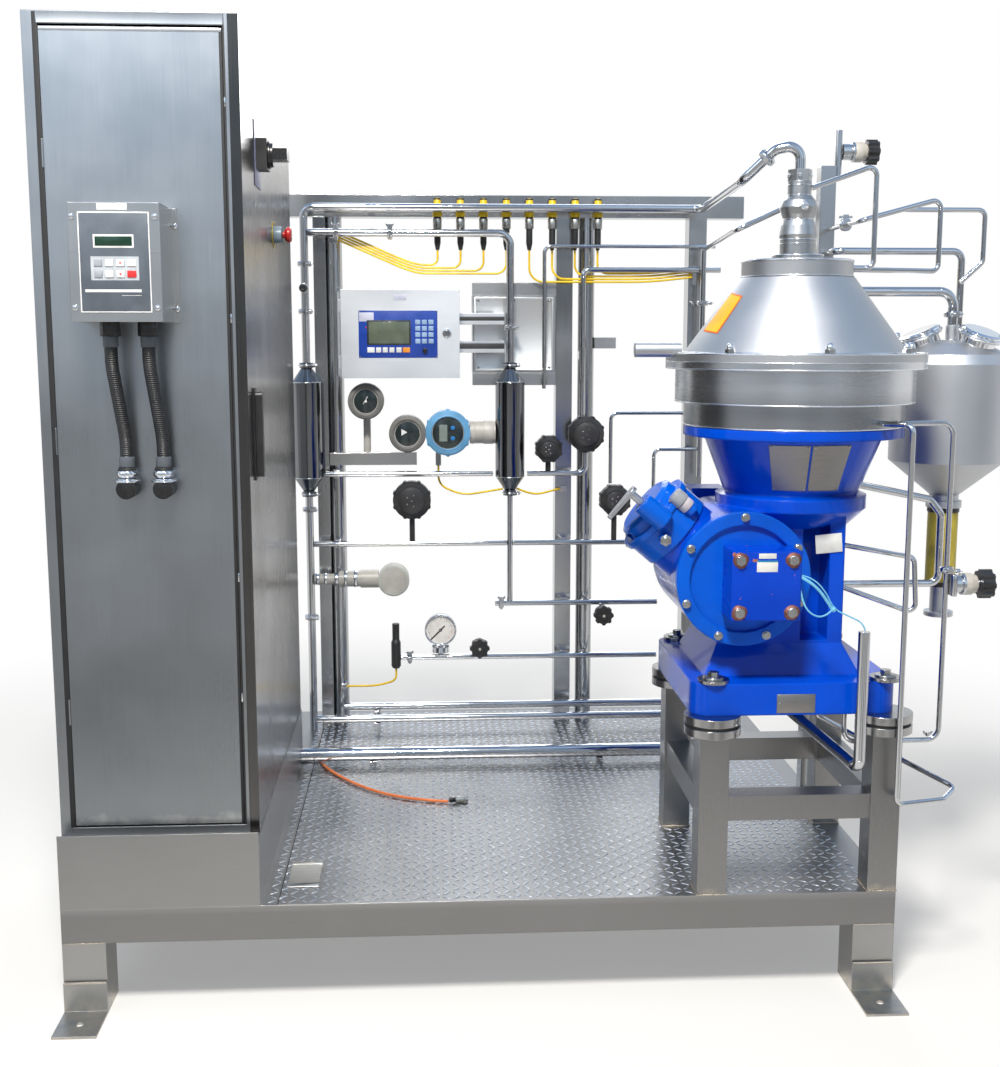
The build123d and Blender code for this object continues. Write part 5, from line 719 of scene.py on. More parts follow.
for degrees in (90, 30, 150, -23, 203, -67, 247):
    spot = on_circle(cover_x, -0.758, cover_z, cover_radius, degrees)
    washers.append(disc(spot, front, 0.0104, 0.0016, ((0.001, 0.0003),), 32))
settle(joined(washers), "bolt_washers", "skid", zinc, 0.0003, 50)
labels = [raised(0.619, 0.659, 1.0640, 1.0760, 0, 0.0006, block_y),
          raised(0.615, 0.663, 1.0335, 1.0560, 0, 0.0006, block_y)]
settle(joined(labels), "block_labels", "skid", label_white, 0.0002)
band = raised(0.615, 0.663, 1.0560, 1.0600, 0, 0.0007, block_y)
settle(band, "label_band", "skid", label_blue, 0.0001)
tag = slab((0.792, -0.6925, 1.052), (0.856, -0.6905, 1.097))
tag.rotation_euler.y = math.radians(-5)
settle(tag, "column_tag", "skid", label_white, 0.0003)


def solid_line(points, radius):
    """Smooth round line, as a mesh."""
    only(smooth_line("tie", points, radius, 3))
    bpy.ops.object.convert(target="MESH")
    return bpy.context.object


pale_blue = moulded("pale_blue_tie", (0.16, 0.50, 0.74), 0.4, 500, 0.1)
ties = [solid_line([(0.7185, -0.835, 1.020), (0.735, -0.846, 1.012), (0.765, -0.850, 0.985),
                    (0.790, -0.848, 0.945)], 0.0034),
        solid_line([(0.7185, -0.835, 0.990), (0.722, -0.846, 0.955), (0.750, -0.852, 0.930),
                    (0.778, -0.850, 0.934), (0.792, -0.848, 0.950)], 0.0020),
        solid_line([(0.7185, -0.832, 1.024), (0.742, -0.842, 1.020), (0.772, -0.846, 0.990),
                    (0.792, -0.847, 0.948), (0.830, -0.848, 0.930), (0.862, -0.849, 0.915),
                    (0.8665, -0.850, 0.897)], 0.0017),
        added(bpy.ops.mesh.primitive_uv_sphere_add, segments=12, ring_count=8, radius=0.0065,
              location=(0.792, -0.8475, 0.947))]
settle(joined(ties), "drain_lanyard", "skid", pale_blue)


# Nameplates: two bare grey plates bent to the casing's cone and riveted, and a bare tag on the base front.
def round_place(degrees, radius, z):
    """Point about the separator's axis, by degrees from the front."""
    turned = math.radians(degrees)
    return Vector((hood_x + radius * math.sin(turned), hood_y - radius * math.cos(turned), z))


def cone_radius(cone, z):
    """Radius at a height of a cone that is given by two heights and their radii."""
    low, radius_low, high, radius_high = cone
    return radius_low + (z - low) * (radius_high - radius_low) / (high - low)


def plate_on_cone(name, cells, corners, cone, lift, thickness, finish):
    """Thin plate wrapped on a cone, given by its four (degrees from the front, height) corners."""
    sheet = added(bpy.ops.mesh.primitive_grid_add, x_subdivisions=cells[0], y_subdivisions=cells[1], size=1)
    (a0, z0), (a1, z1), (a2, z2), (a3, z3) = corners
    for vertex in sheet.data.vertices:
        u, v = vertex.co.x + 0.5, vertex.co.y + 0.5
        degrees = (a0 * (1 - u) + a1 * u) * (1 - v) + (a3 * (1 - u) + a2 * u) * v
        z = (z0 * (1 - u) + z1 * u) * (1 - v) + (z3 * (1 - u) + z2 * u) * v
        vertex.co = round_place(degrees, cone_radius(cone, z) + lift, z)
    wall = sheet.modifiers.new("wall", "SOLIDIFY")
    wall.thickness = thickness
    bpy.ops.object.modifier_apply(modifier=wall.name)
    settle(sheet, name, "skid", finish)


hood_x, hood_y = 0.765, -0.552
casing_cone = (1.189, 0.163, 1.320, 0.214)
plate_z0, plate_z1 = 1.203, 1.312
plate_grey = steel("nameplate", (0.26, 0.25, 0.24), 0.42, (30, 30, 240), 0.1, 0.15)
for side, a0, a1 in (("left", -29.5, -3.5), ("right", -2.0, 24.5)):
    corners = ((a0, plate_z0), (a1, plate_z0), (a1, plate_z1), (a0, plate_z1))
    plate_on_cone("nameplate_" + side, (10, 4), corners, casing_cone, 0.0012, 0.0010, plate_grey)
rivets = []
for degrees in (-28.0, -5.0, -0.5, 23.0):
    for z in (1.207, 1.308):
        spot = round_place(degrees, cone_radius(casing_cone, z) + 0.0016, z)
        turned = math.radians(degrees)
        rivets.append(disc(spot, (math.sin(turned), -math.cos(turned), -0.36), 0.0026, 0.0009,
                           ((0.0008, 0.0006),), 14))
base_tag = slab((0.681, -0.8012, 0.692), (0.772, -0.7998, 0.737))
settle(base_tag, "base_tag", "skid", plate_grey, 0.0004)
rivets.append(disc((0.688, -0.8012, 0.716), front, 0.0028, 0.0010, ((0.0008, 0.0005),), 14))
settle(joined(rivets), "plate_rivets", "skid", zinc, 0.0002, 50)

# Brake: an iron housing with a grey filler cap in a pale band beside its boss and a zinc plug screwed into
# its side. A cast lever turns on the boss.
dress(steel("lever_cast", (0.50, 0.50, 0.51), 0.36, (90, 90, 90), 0.3, 0.1), "brake_lever")
brake_turn = math.radians(50)
brake_way = Vector((-math.sin(brake_turn), 0, math.cos(brake_turn)))
brake_side = Vector((brake_way.z, 0, -brake_way.x))
brake_seat = Vector((0.409, -0.640, 1.146))


def on_brake(along, side, forward):
    """Point on the brake: along its axis, across it, and towards the front."""
    return brake_seat + brake_way * along + brake_side * side + Vector((0, -forward, 0))


grey_cap = moulded("grey_cap", (0.30, 0.32, 0.35), 0.35)
band_white = moulded("band_white", (0.5, 0.46, 0.5), 0.5, 60, 0.05)
filler = disc(on_brake(-0.020, 0.062, 0.082), brake_way, 0.0205, 0.024,
              ((0.0015, 0.001), (0.004, 0.002), (0.004, 0.0005)), 24)
settle(filler, "filler_cap", "skid", grey_cap, 0.0008)
filler_band = disc(on_brake(-0.040, 0.062, 0.082), brake_way, 0.0185, 0.018, ((0.001, 0.0005),), 24)
settle(filler_band, "filler_band", "skid", band_white, 0.0004)
plug = disc(on_brake(-0.040, -0.031, 0.124), front, 0.0142, 0.005, ((0.004, 0.006), (0.002, 0)), 6)
settle(plug, "brake_plug", "skid", zinc, 0.0008)

# Inner parts: turned stainless drive shaft, wheel, spindle, bowl and discs, with the lathe's fine rings.
machined = steel("machined_steel", (0.50, 0.50, 0.51), 0.26, (30, 30, 400), 0.12, 0.08)
dress(machined, "drive_shaft", "spindle", "bowl_body", "sliding_piston", "distributor", "disc_stack",
      "bowl_top", "lock_ring", "feed_tube", "bearings")
dress(steel("wheel_bronze", (0.50, 0.34, 0.16), 0.32, (60, 300, 60), 0.12, 0.1), "worm_wheel")

# Sludge casing, hood and inlet head: spun stainless steel, bead-blasted on the hood and brushed round the
# casing, with turned rings at the flanges in a far lighter steel that paints their highlights, and a bare
# orange-yellow plate riveted on the hood.
dress(steel("blasted_steel", (0.475, 0.478, 0.485), 0.46, (700, 700, 700), 0.16, 0.05), "hood")
# Painted shade: the casing is darker below a height just under its upper flange, where the flange's shadow
# falls.
dress(steel("ringed_steel", (0.34, 0.348, 0.36), 0.28, (14, 14, 900), 0.12, 0.07, painted_top_light=(1.39, 1.44, 1.75)),
      "catcher")
dress(steel("head_steel", (0.42, 0.425, 0.43), 0.40, (500, 500, 500), 0.10, 0.08), "inlet_head")


def ring(z, radius, thickness, height):
    """Turned ring about the separator's axis."""
    hoop = added(bpy.ops.mesh.primitive_torus_add, location=(hood_x, hood_y, z), major_radius=radius,
                 minor_radius=thickness, major_segments=96, minor_segments=10)
    hoop.scale.z = height / thickness
    return hoop


# Painted highlight: the flange rings are far lighter than the casing, for the light that catches the flange
# edges.
ring_highlight_steel = steel("ring_highlight_steel", (0.74, 0.75, 0.76), 0.22, (60, 60, 60), 0.05, 0.05)
hoops = [ring(*sizes) for sizes in (
    (1.5205, 0.3085, 0.0022, 0.0022), (1.5020, 0.3098, 0.0022, 0.0012), (1.4860, 0.3085, 0.0022, 0.0022),
    (1.4060, 0.2855, 0.0020, 0.0020), (1.7380, 0.1310, 0.0030, 0.0030), (1.7020, 0.1330, 0.0020, 0.0014),
    (1.3500, 0.2650, 0.0018, 0.0018), (1.5225, 0.2680, 0.0022, 0.0022))]
settle(joined(hoops), "casing_rings", "skid", ring_highlight_steel)

hood_cone = (1.520, 0.268, 1.699, 0.137)
orange_plate = moulded("orange_plate", (0.92, 0.40, 0.0), 0.5, 300, 0.05)
orange_rim = moulded("orange_rim", (0.80, 0.12, 0.0), 0.5, 300, 0.05)
corners = ((-84, 1.577), (-66, 1.571), (-63, 1.652), (-82, 1.662))
plate_on_cone("hood_plate", (8, 8), corners, hood_cone, 0.0014, 0.0010, orange_plate)
corners = ((-85, 1.574), (-65.2, 1.568), (-62.2, 1.655), (-83, 1.665))
plate_on_cone("hood_plate_rim", (8, 8), corners, hood_cone, 0.0010, 0.0006, orange_rim)

domes = []
for n in range(8):
    x, y, _ = round_place(45 * n, 0.289, 0)
    dome = added(bpy.ops.mesh.primitive_uv_sphere_add, segments=20, ring_count=10, radius=0.0098,
                 location=(x, y, 1.5355))
    dome.scale.z = 1.15
    domes += [dome, disc((x, y, 1.5195), up, 0.0150, 0.0025, ((0.001, 0.0003),), 24)]
settle(joined(domes), "acorn_domes", "skid", chrome)

head_parts = [ring(z, radius, thick, thick) for z, radius, thick in (
    (1.7525, 0.0600, 0.0022), (1.7900, 0.0425, 0.0016), (1.8370, 0.0362, 0.0016),
    (1.8930, 0.0290, 0.0014), (1.9170, 0.0285, 0.0012), (1.7800, 0.0428, 0.0010))]
for n in range(6):
    turned = math.radians(60 * n + 15)
    way = Vector((math.cos(turned), math.sin(turned), 0))
    head_parts.append(disc(Vector((hood_x, hood_y, 1.9395)) + way * 0.0285, way, 0.0048, 0.0030,
                           ((0.001, 0.0004),), 16))
head_parts.append(disc((hood_x, hood_y - 0.0478, 1.865), front, 0.0100, 0.0015,
                       ((0.003, 0.001), (0.002, -0.0015)), 24))
settle(joined(head_parts), "head_rings", "skid", chrome, 0.0002, 50)

# Tank: spun cone and dome in bead-blasted steel, two clamped ports with wing nuts on the dome, and yellow
# hazard sleeve on its outlet with a dark collar.
dress(steel("tank_steel", (0.54, 0.545, 0.555), 0.48, (700, 700, 700), 0.15, 0.06), "tank")
dress(chrome, "tank_ports")
tank_x, tank_y = 1.249, -0.310
yellow_sleeve = moulded("yellow_sleeve", (0.62, 0.50, 0.06), 0.45, 200, 0.2)
sleeve = disc((tank_x, tank_y, 0.9105), up, 0.0392, 0.188, ((0.0008, 0.0004),), 32)
settle(sleeve, "outlet_sleeve", "skid", yellow_sleeve, 0.0008)
bands = [disc((tank_x, tank_y, z), up, radius, 0.012, ((0.001, 0.0004),), 32)
         for z, radius in ((1.0985, 0.0415), (0.8985, 0.0410))]
settle(joined(bands), "outlet_bands", "skid", black_plastic, 0.0008)


def wing_nut(place, normal, span):
    """Wing nut: a round hub with two flared wings."""
    parts = [disc(place, normal, span * 0.22, span * 0.34, ((span * 0.05, span * 0.03),), 16)]
    for side in (-1, 1):
        wing = added(bpy.ops.mesh.primitive_uv_sphere_add, segments=10, ring_count=6, radius=1)
        wing.matrix_world = (Matrix.Translation(place) @ facing(normal)
                             @ Matrix.Translation((side * span * 0.34, 0, span * 0.30))
                             @ Matrix.Rotation(side * math.radians(28), 4, "Y")
                             @ Matrix.Diagonal((span * 0.13, span * 0.05, span * 0.26, 1)))
        parts.append(wing)
    return parts


port_tilt, port_rise, port_radius = math.radians(22), 0.031, 0.0535
nuts = []
for dx, dy in ((-0.072, 0), (0.042, -0.062)):
    out_way = Vector((dx, dy, 0)).normalized()
    way = out_way * math.sin(port_tilt) + Vector((0, 0, math.cos(port_tilt)))
    clamp = Vector((tank_x + dx, tank_y + dy, 1.5353)) + way * port_rise
    hoop = added(bpy.ops.mesh.primitive_torus_add, major_radius=port_radius, minor_radius=0.0050,
                 major_segments=48, minor_segments=10)
    hoop.matrix_world = Matrix.Translation(clamp) @ facing(way)
    nuts += [hoop] + wing_nut(clamp + out_way * 0.056, out_way, 0.030)
settle(joined(nuts), "port_clamps", "skid", chrome, 0, 50)

# Rack, pipes and clamps: polished box section posts and sanitary tube, joined by clamped unions with wing
# nuts and held off the rack on clip blocks.
rack_steel = steel("rack_steel", (0.48, 0.485, 0.49), 0.20, (900, 900, 12), 0.06, 0.05)
tube_steel = steel("tube_steel", (0.54, 0.545, 0.555), 0.09, (500, 500, 500), 0.02, 0.04)
clamp_steel = steel("clamp_steel", (0.58, 0.58, 0.58), 0.16, (300, 300, 300), 0.05, 0.1)
dress(rack_steel, "pipe_rack")
dress(tube_steel, "rack_lines", "machine_lines")
dress(clamp_steel, "line_clamps")
line_y = 0.590
sensor_x = (-0.514, 0.145)
nut_y = line_y - 0.0262
nuts = []
for x, z in ((-0.514, 1.790), (-0.514, 1.640), (-0.514, 1.000), (-0.514, 0.640), (0.145, 1.590),
             (0.774, 1.668)):
    nuts += wing_nut(Vector((x + 0.016, nut_y, z)), right, 0.026)
for x, z in ((-0.412, 1.889), (-0.240, 1.889), (0.540, 0.884), (0.116, 0.680), (-0.190, 0.498)):
    nuts += wing_nut(Vector((x, nut_y, z + 0.015)), up, 0.026)
nuts += wing_nut(Vector((1.125, -0.7192, 1.010)), right, 0.024)
nuts += wing_nut(Vector((1.075, -0.7192, 0.606)), up, 0.024)


def flat_ring(x, y, z, radius, thickness, sides):
    """Round bead about an upright line."""
    return added(bpy.ops.mesh.primitive_torus_add, location=(x, y, z), major_radius=radius,
                 minor_radius=thickness, major_segments=sides, minor_segments=8)


for x in sensor_x:
    for z in (1.051, 1.469):
        nuts += wing_nut(Vector((x + 0.022, line_y - 0.010, z)), right, 0.030)
        nuts.append(flat_ring(x, line_y, z, 0.0222, 0.0040, 36))
settle(joined(nuts), "clamp_wings", "skid", clamp_steel, 0, 50)
tap_x, tap_z = -0.514, 1.713
tap = disc((tap_x, 0.5690, tap_z), front, 0.0150, 0.0240, ((0.002, 0.001), (0, 0.004)), 32)
settle(tap, "riser_tap", "skid", clamp_steel, 0.0008)
tap_cap = disc((tap_x, 0.5400, tap_z), front, 0.0125, 0.0060, ((0.003, 0.0012), (0.003, -0.0008)), 32)
settle(tap_cap, "riser_tap_cap", "skid", black_plastic, 0.0006)

# Flow sensors: long closed cases polished to a dark mirror, welded at both shoulders and clamped into
# the lines.
dress(steel("mirror_case", (0.20, 0.205, 0.215), 0.10, (400, 400, 6), 0.05, 0.10), "flow_sensors")
shoulders = [flat_ring(x, line_y, z, 0.0470, 0.0018, 48) for x in sensor_x for z in (1.1055, 1.4145)]
settle(joined(shoulders), "sensor_welds", "skid", clamp_steel)

# Instrument heads: two cast heads with dark threaded rings and glass, a head with a light-blue ring and a
# display, and a pale pressure transmitter.
head_grey = moulded("head_grey", (0.17, 0.17, 0.165), 0.42, 500, 0.15)
dress(moulded("beige_grey", (0.46, 0.45, 0.42), 0.40, 500, 0.12), "transmitter_heads")
glass = moulded("dark_glass", (0.020, 0.030, 0.032), 0.06, 20, 0.0)
light_blue = moulded("light_blue", (0.13, 0.36, 0.62), 0.34, 500, 0.08)
head_y = 0.550
bezels, panes, pointers = [], [], []
for x, z, radius in ((-0.323, 1.354, 0.056), (-0.190, 1.249, 0.058)):
    bezels.append(disc((x, head_y + 0.060, z), front, radius + 0.002, 0.060,
                       ((0.004, 0.004), (0.006, 0.001), (0.004, -0.003), (0.004, -0.006)), 48))
    panes.append(disc((x, head_y + 0.001, z), front, radius - 0.018, 0.0015, ((0.002, 0.0004),)))
settle(joined(bezels), "head_bezels", "skid", head_grey, 0.0008)
needle = raised(-0.325, -0.3232, 1.343, 1.372, 0.0006, 0.0014, head_y)
needle.rotation_euler.y = math.radians(32)
hub = disc((-0.323, head_y - 0.0006, 1.354), front, 0.004, 0.0012, ((0.001, 0.0005),), 20)
arrow = added(bpy.ops.mesh.primitive_cylinder_add, vertices=3, radius=0.013, depth=0.0008,
              location=(-0.203, head_y - 0.001, 1.254))
arrow.rotation_euler = (math.radians(90), math.radians(-30), 0)
settle(joined([needle, hub, arrow]), "head_pointers", "skid", white_ink, 0.0002)

x, z, radius = -0.059, 1.251, 0.072
lugs = [disc((x, head_y + 0.070, z), front, radius + 0.001, 0.070,
             ((0.004, 0.003), (0.012, 0.001), (0.004, -0.004), (0.002, -0.006)), 56)]
for n in range(6):
    spot = on_circle(x, head_y + 0.045, z, radius - 0.003, 60 * n + 30)
    lugs.append(disc(spot, front, 0.0085, 0.042, ((0.002, 0.002),), 16))
settle(joined(lugs), "display_ring", "skid", light_blue, 0.0008)
panes.append(disc((x, head_y + 0.0015, z), front, radius - 0.0215, 0.0015, ((0.002, 0.0004),), 48))
settle(joined(panes), "head_glass", "skid", glass, 0.0002)
lcd_grey = moulded("lcd_grey", (0.22, 0.27, 0.25), 0.15, 60, 0.0)
screen = raised(x - 0.028, x - 0.002, z - 0.027, z + 0.027, 0.0002, 0.0012, head_y)
settle(screen, "display_screen", "skid", lcd_grey, 0.0004)
button_blue = moulded("button_blue", (0.02, 0.22, 0.60), 0.3)
buttons = [disc((x + 0.016, head_y - 0.0004, z + dz), front, 0.0070, 0.0016, ((0.001, 0.0008),), 20)
           for dz in (0.017, -0.017)]
settle(joined(buttons), "display_buttons", "skid", button_blue, 0.0004)
tail_grey = moulded("tail_grey", (0.50, 0.49, 0.46), 0.38)
caps = [disc((0.060, 0.601, z), right, 0.0400, 0.030, ((0.002, 0.001),), 32),
        disc((0.018, 0.601, z), right, 0.0395, 0.008, ((0.001, 0.001),), 32)]
settle(joined(caps), "display_tail", "skid", tail_grey, 0.0006)

x, z = -0.240, 0.767
pale_grey = moulded("pale_grey", (0.46, 0.48, 0.45), 0.36)
bezel = disc((x, 0.562, z), front, 0.0515, 0.020, ((0.004, 0.002), (0.006, -0.003), (0.003, -0.004)), 48)
settle(bezel, "transmitter_bezel", "skid", pale_grey, 0.0008)
pane = disc((x, 0.5455, z), front, 0.0375, 0.001, ((0.002, 0.0003),))
settle(pane, "transmitter_glass", "skid", glass, 0.0002)
lcd_pale = moulded("lcd_pale", (0.30, 0.36, 0.31), 0.2, 60, 0.0)
screen = slab((x - 0.017, 0.5436, z - 0.016), (x + 0.019, 0.5442, z + 0.014))
settle(screen, "transmitter_screen", "skid", lcd_pale, 0.0002)
union = [disc((x0, line_y, z), right, radius, width, ((0.001, 0.0005),), 28) for x0, radius, width in (
    (-0.498, 0.0200, 0.012), (-0.470, 0.0205, 0.010), (-0.436, 0.0215, 0.014), (-0.404, 0.0275, 0.010),
    (-0.372, 0.0280, 0.012))]
settle(joined(union), "transmitter_union", "skid", clamp_steel, 0.0006)

# Diaphragm valve actuators: black glass-filled caps with a bolt in each lug and a smooth round centre
# with small screws, on steel stems.
dress(moulded("actuator_black", (0.022, 0.022, 0.023), 0.38, 500, 0.2), "valve_actuators")
actuator_cap = moulded("actuator_cap", (0.035, 0.035, 0.037), 0.30, 500, 0.1)
cap_y = line_y - 0.044
bolts, centres, studs = [], [], []
for x, z, radius in ((-0.178, 1.031, 0.062), (0.394, 1.245, 0.058), (0.270, 1.197, 0.043),
                     (0.492, 1.026, 0.050)):
    centres.append(disc((x, cap_y + 0.0005, z), front, radius - 0.018, 0.002,
                        ((0.002, 0.004), (0.003, 0.001))))
    for n in range(8):
        spot = on_circle(x, cap_y + 0.014, z, radius - 0.004, 45 * n + 22.5)
        bolts.append(disc(spot, front, 0.0046, 0.0042, ((0.0014, -0.001),), 6))
    for n in range(5):
        spot = on_circle(x, cap_y - 0.0062, z, 0.30 * radius if n else 0.0, 72 * n)
        studs.append(disc(spot, front, 0.0026, 0.0012, ((0.0008, -0.0006),), 12))
settle(joined(centres), "actuator_centres", "skid", actuator_cap, 0.0006)
settle(joined(bolts), "actuator_bolts", "skid", black_plastic, 0.0004, 50)
settle(joined(studs), "actuator_screws", "skid", zinc, 0.0001, 50)

# Pressure gauge: polished case, white dial with division marks and a red mark, black needle behind glass.
dress(chrome, "pressure_gauge")
dress(moulded("needle_black", (0.02, 0.02, 0.02), 0.4), "gauge_needle")
gauge_x, gauge_z, dial_y = -0.087, 0.593, 0.5782
dial_white = moulded("dial_white", (0.80, 0.79, 0.77), 0.45, 100, 0.02)
ink_black = moulded("ink_black", (0.03, 0.03, 0.03), 0.5)
ink_red = moulded("ink_red", (0.6, 0.03, 0.02), 0.5)
dial = disc((gauge_x, dial_y, gauge_z), front, 0.0468, 0.0006, ((0.001, 0.0001),), 48)
settle(dial, "gauge_dial", "skid", dial_white)
mark_end, long_mark, short_mark = 0.0415, 0.034, 0.0375
first_mark, mark_step, red_from = 225, 6.75, 34
marks, reds = [], []
for n in range(41):
    major = n % 5 == 0
    inner = long_mark if major else short_mark
    half, wide = (mark_end - inner) / 2, 0.0006 if major else 0.0003
    mark = slab((-half, -0.0001, -wide), (half, 0.0001, wide))
    in_mesh(mark)
    degrees = first_mark - n * mark_step
    spot = on_circle(gauge_x, dial_y - 0.0008, gauge_z, inner + half, degrees)
    mark.matrix_world = Matrix.Translation(spot) @ Matrix.Rotation(-math.radians(degrees), 4, "Y")
    (reds if n > red_from else marks).append(mark)
settle(joined(marks), "gauge_marks", "skid", ink_black)
settle(joined(reds), "gauge_red", "skid", ink_red)
rim = added(bpy.ops.mesh.primitive_torus_add, location=(gauge_x, 0.5745, gauge_z),
            rotation=(math.radians(90), 0, 0), major_radius=0.0500, minor_radius=0.0032, major_segments=56,
            minor_segments=10)
settle(rim, "gauge_rim", "skid", chrome)
seal_radius, seal_z = 0.024, 0.534
bolts = []
for n in range(8):
    turned = math.radians(45 * n)
    spot = (gauge_x + seal_radius * math.cos(turned), line_y + seal_radius * math.sin(turned), seal_z)
    bolts.append(disc(spot, up, 0.0038, 0.005, ((0.001, 0.0005),), 6))
settle(joined(bolts), "seal_bolts", "skid", zinc, 0.0003)

# Hand valves: pale bonnets on polished bodies, and black star knobs with a pale stud in the middle.
dress(steel("valve_steel", (0.52, 0.53, 0.54), 0.22, (200, 200, 200), 0.1, 0.08), "hand_valves")
dress(moulded("knob_black", (0.020, 0.020, 0.021), 0.34, 600, 0.15), "handwheel_right", "handwheel_top",
      "handwheel_left", "handwheel_rear")
pale_bonnet = moulded("pale_bonnet", (0.52, 0.50, 0.46), 0.4)
bonnets = [disc((1.151, -0.700, 0.975), right, 0.0265, 0.018, ((0.003, 0.008), (0.002, 0.004)), 32),
           disc((1.0199, -0.150, 2.049), right, 0.0265, 0.022, ((0.003, 0.008), (0.002, 0.008)), 32)]
settle(joined(bonnets), "valve_bonnets", "skid", pale_bonnet, 0.0008)
stud_sunk = 0.0005
for name, way, across, z in (("right", right, -0.700, 0.975), ("top", right, -0.150, 2.049),
                             ("left", front, 0.042, 0.538), ("rear", front, 0.454, 0.645)):
    knob_low, knob_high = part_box("handwheel_" + name)
    if way == right:
        spot = (knob_high.x - stud_sunk, across, z)
    else:
        spot = (across, knob_low.y + stud_sunk, z)
    stud = disc(spot, way, 0.0055, 0.0004, ((0.001, 0.0003),), 20)
    settle(stud, "knob_stud_" + name, "wheel_" + name, pale_bonnet)
valve_body = slab((1.115, -0.726, 0.948), (1.129, -0.674, 1.002))
settle(valve_body, "valve_body_right", "skid", clamp_steel, 0.004)

# Operator box: brushed stainless box on two rails. Its door carries a blue membrane panel with a display,
# pale-blue keys, an orange key and a small knob, a bare label, and a round double-bit lock.
dress(steel("operator_steel", (0.76, 0.775, 0.795), 0.42, (12, 900, 900), 0.10, 0.06), "operator_box",
      "operator_door")
dress(chrome, "operator_lock")
op_y, op_body = 0.500, "operator_door_body"
panel_blue = moulded("panel_blue", (0.012, 0.055, 0.36), 0.30, 200, 0.03)
bezel_dark = moulded("bezel_dark", (0.030, 0.036, 0.045), 0.25, 200, 0.03)
lcd_olive = moulded("lcd_olive", (0.12, 0.15, 0.11), 0.12, 12, 0.0)
key_blue = moulded("key_blue", (0.30, 0.44, 0.66), 0.32, 300, 0.05)
key_orange = moulded("key_orange", (0.85, 0.30, 0.04), 0.32, 300, 0.05)
label_violet = moulded("label_violet", (0.56, 0.58, 0.72), 0.45, 200, 0.05)
slot_shadow_dark = moulded("slot_shadow_dark", (0.035, 0.036, 0.038), 0.5)
for name, x0, x1, z0, z1, inner, outer, finish, bevel, slot in (
        ("operator_panel", -0.340, -0.091, 1.494, 1.642, -0.0002, 0.0012, panel_blue, 0.0004, "blue_paint"),
        ("screen_bezel", -0.314, -0.175, 1.534, 1.612, 0.0010, 0.0018, bezel_dark, 0.0003, "black_gloss"),
        ("operator_screen", -0.308, -0.181, 1.539, 1.607, 0.0016, 0.0022, lcd_olive, 0.0003, "dial")):
    settle(raised(x0, x1, z0, z1, inner, outer, op_y), name, op_body, finish, bevel)
keys = [raised(x - 0.0080, x + 0.0080, z - 0.0072, z + 0.0072, 0.0010, 0.0030, op_y)
        for x in (-0.1533, -0.1325, -0.1116) for z in (1.6060, 1.5863, 1.5667, 1.5463)]
settle(joined(keys), "operator_keys", op_body, key_blue, 0.0007)
soft_keys = [raised(x - half, x + half, 1.5108, 1.5268, 0.0010, 0.0030, op_y) for x, half in (
    (-0.3015, 0.0115), (-0.2775, 0.0080), (-0.2566, 0.0080), (-0.2358, 0.0080), (-0.2134, 0.0080))]
settle(joined(soft_keys), "operator_soft_keys", op_body, key_finish["white"], 0.0007)
orange_cap = raised(-0.2016, -0.1786, 1.5108, 1.5268, 0.0010, 0.0030, op_y)
settle(orange_cap, "operator_orange_key", op_body, key_orange, 0.0007)
labels = [raised(-0.338, -0.292, 1.608, 1.636, 0.0010, 0.0017, op_y),
          raised(-0.229, -0.189, 1.674, 1.6915, -0.0002, 0.0006, op_y)]
settle(joined(labels), "operator_labels", op_body, label_violet, 0.0002)
knob = disc((-0.1309, op_y - 0.0010, 1.517), front, 0.0078, 0.004, ((0.001, 0.006), (0.001, 0.0006)), 24)
settle(knob, "operator_knob", op_body, black_gloss, 0.0004)
lamp_dot = disc((-0.3160, op_y - 0.0010, 1.589), front, 0.0022, 0.0008, ((0.0006, 0.0003),), 16)
settle(lamp_dot, "operator_lamp", op_body, key_finish["red"])
screws = [dome_screw(x, op_y - 0.0012, z, 0.0022) for x in (-0.336, -0.095) for z in (1.498, 1.638)]
settle(joined(screws), "panel_screws", op_body, zinc, 0, 50)
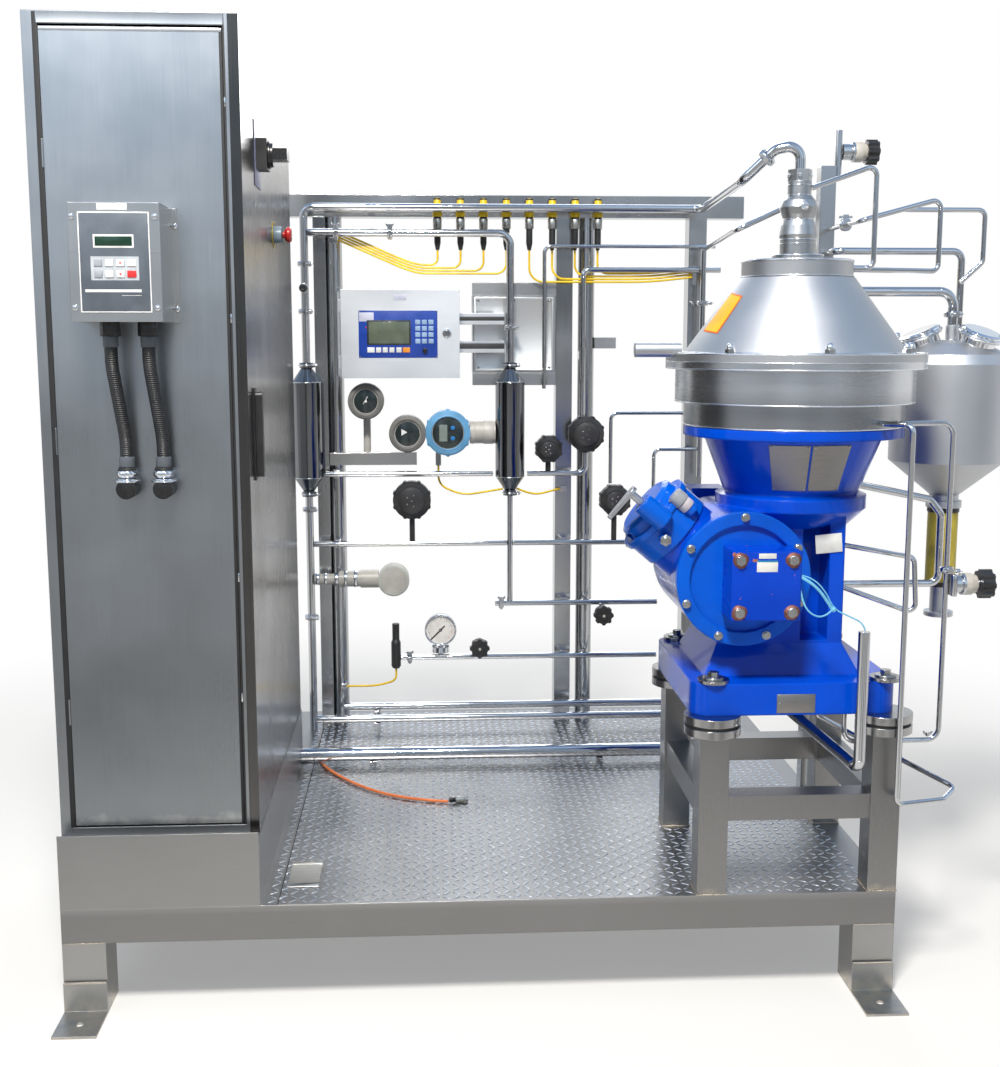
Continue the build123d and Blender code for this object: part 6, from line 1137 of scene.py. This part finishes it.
# Painted shade: dark strips along the two rails stand for the shade in their slots.
slot_shadows = [slab((-0.0235, 0.5042, z0), (0.1215, 0.5052, z1))
           for z0, z1 in ((1.6105, 1.6235), (1.5220, 1.5395))]
settle(joined(slot_shadows), "rail_slot_shadows", "skid", slot_shadow_dark, 0.0003)
rim = disc((-0.061, op_y - 0.0003, 1.571), front, 0.0145, 0.0022, ((0.0035, 0.0006), (0.0006, -0.0010)), 36)
settle(rim, "lock_rim", "operator_door_body", chrome, 0.0004)

# Terminal boxes on slotted strut behind the lines: pale sheet lids with a turned edge and corner screws.
dress(steel("terminal_steel", (0.42, 0.42, 0.42), 0.36, (12, 900, 900), 0.06, 0.05), "terminal_boxes")
lid_steel = steel("lid_steel", (0.70, 0.70, 0.69), 0.42, (12, 900, 900), 0.06, 0.05)
lid = slab((0.031, 0.6425, 1.4480), (0.291, 0.6452, 1.6890))
in_mesh(lid)
shaped(lid, faces_front, ((0.006, (0, 0.0012, 0)),))
settle(lid, "terminal_lid", "skid", lid_steel, 0.0006)
screws = [dome_screw(x, 0.6432, z, 0.0040) for x in (0.044, 0.161, 0.278) for z in (1.460, 1.677)]
settle(joined(screws), "terminal_screws", "skid", zinc, 0, 50)

# Sensor plugs under the beam: yellow ring nuts and ties above knurled metal nuts, black tapered shells
# below, and yellow leads swept to the posts.
dress(moulded("plug_black", (0.016, 0.016, 0.017), 0.36, 600, 0.12), "sensor_plugs")
dress(moulded("yellow_jacket", (0.84, 0.58, 0.01), 0.36, 1200, 0.08), "sensor_cables")
plug_y, first_plug, plug_pitch = 0.6242, -0.088, 0.0743
tie_yellow = moulded("tie_yellow", (0.86, 0.60, 0.01), 0.34)
nut_nickel = steel("nut_nickel", (0.42, 0.41, 0.38), 0.26, (300, 300, 300), 0.1, 0.2)
rings, nuts = [], []
for n in range(8):
    x = first_plug + plug_pitch * n
    rings.append(disc((x, plug_y, 1.9420), up, 0.0155, 0.014, ((0.0015, 0.001), (0.002, 0.003)), 20))
    rings.append(disc((x, plug_y - 0.0030, 1.9730), up, 0.0138, 0.012, ((0.002, 0.010), (0.004, 0.006)), 14))
    nuts.append(disc((x, plug_y, 1.9055), up, 0.0145, 0.030, ((0.001, 0.001), (0.002, 0.003)), 12))
settle(joined(rings), "plug_rings", "skid", tie_yellow, 0.0006)
settle(joined(nuts), "plug_nuts", "skid", nut_nickel, 0.0006)
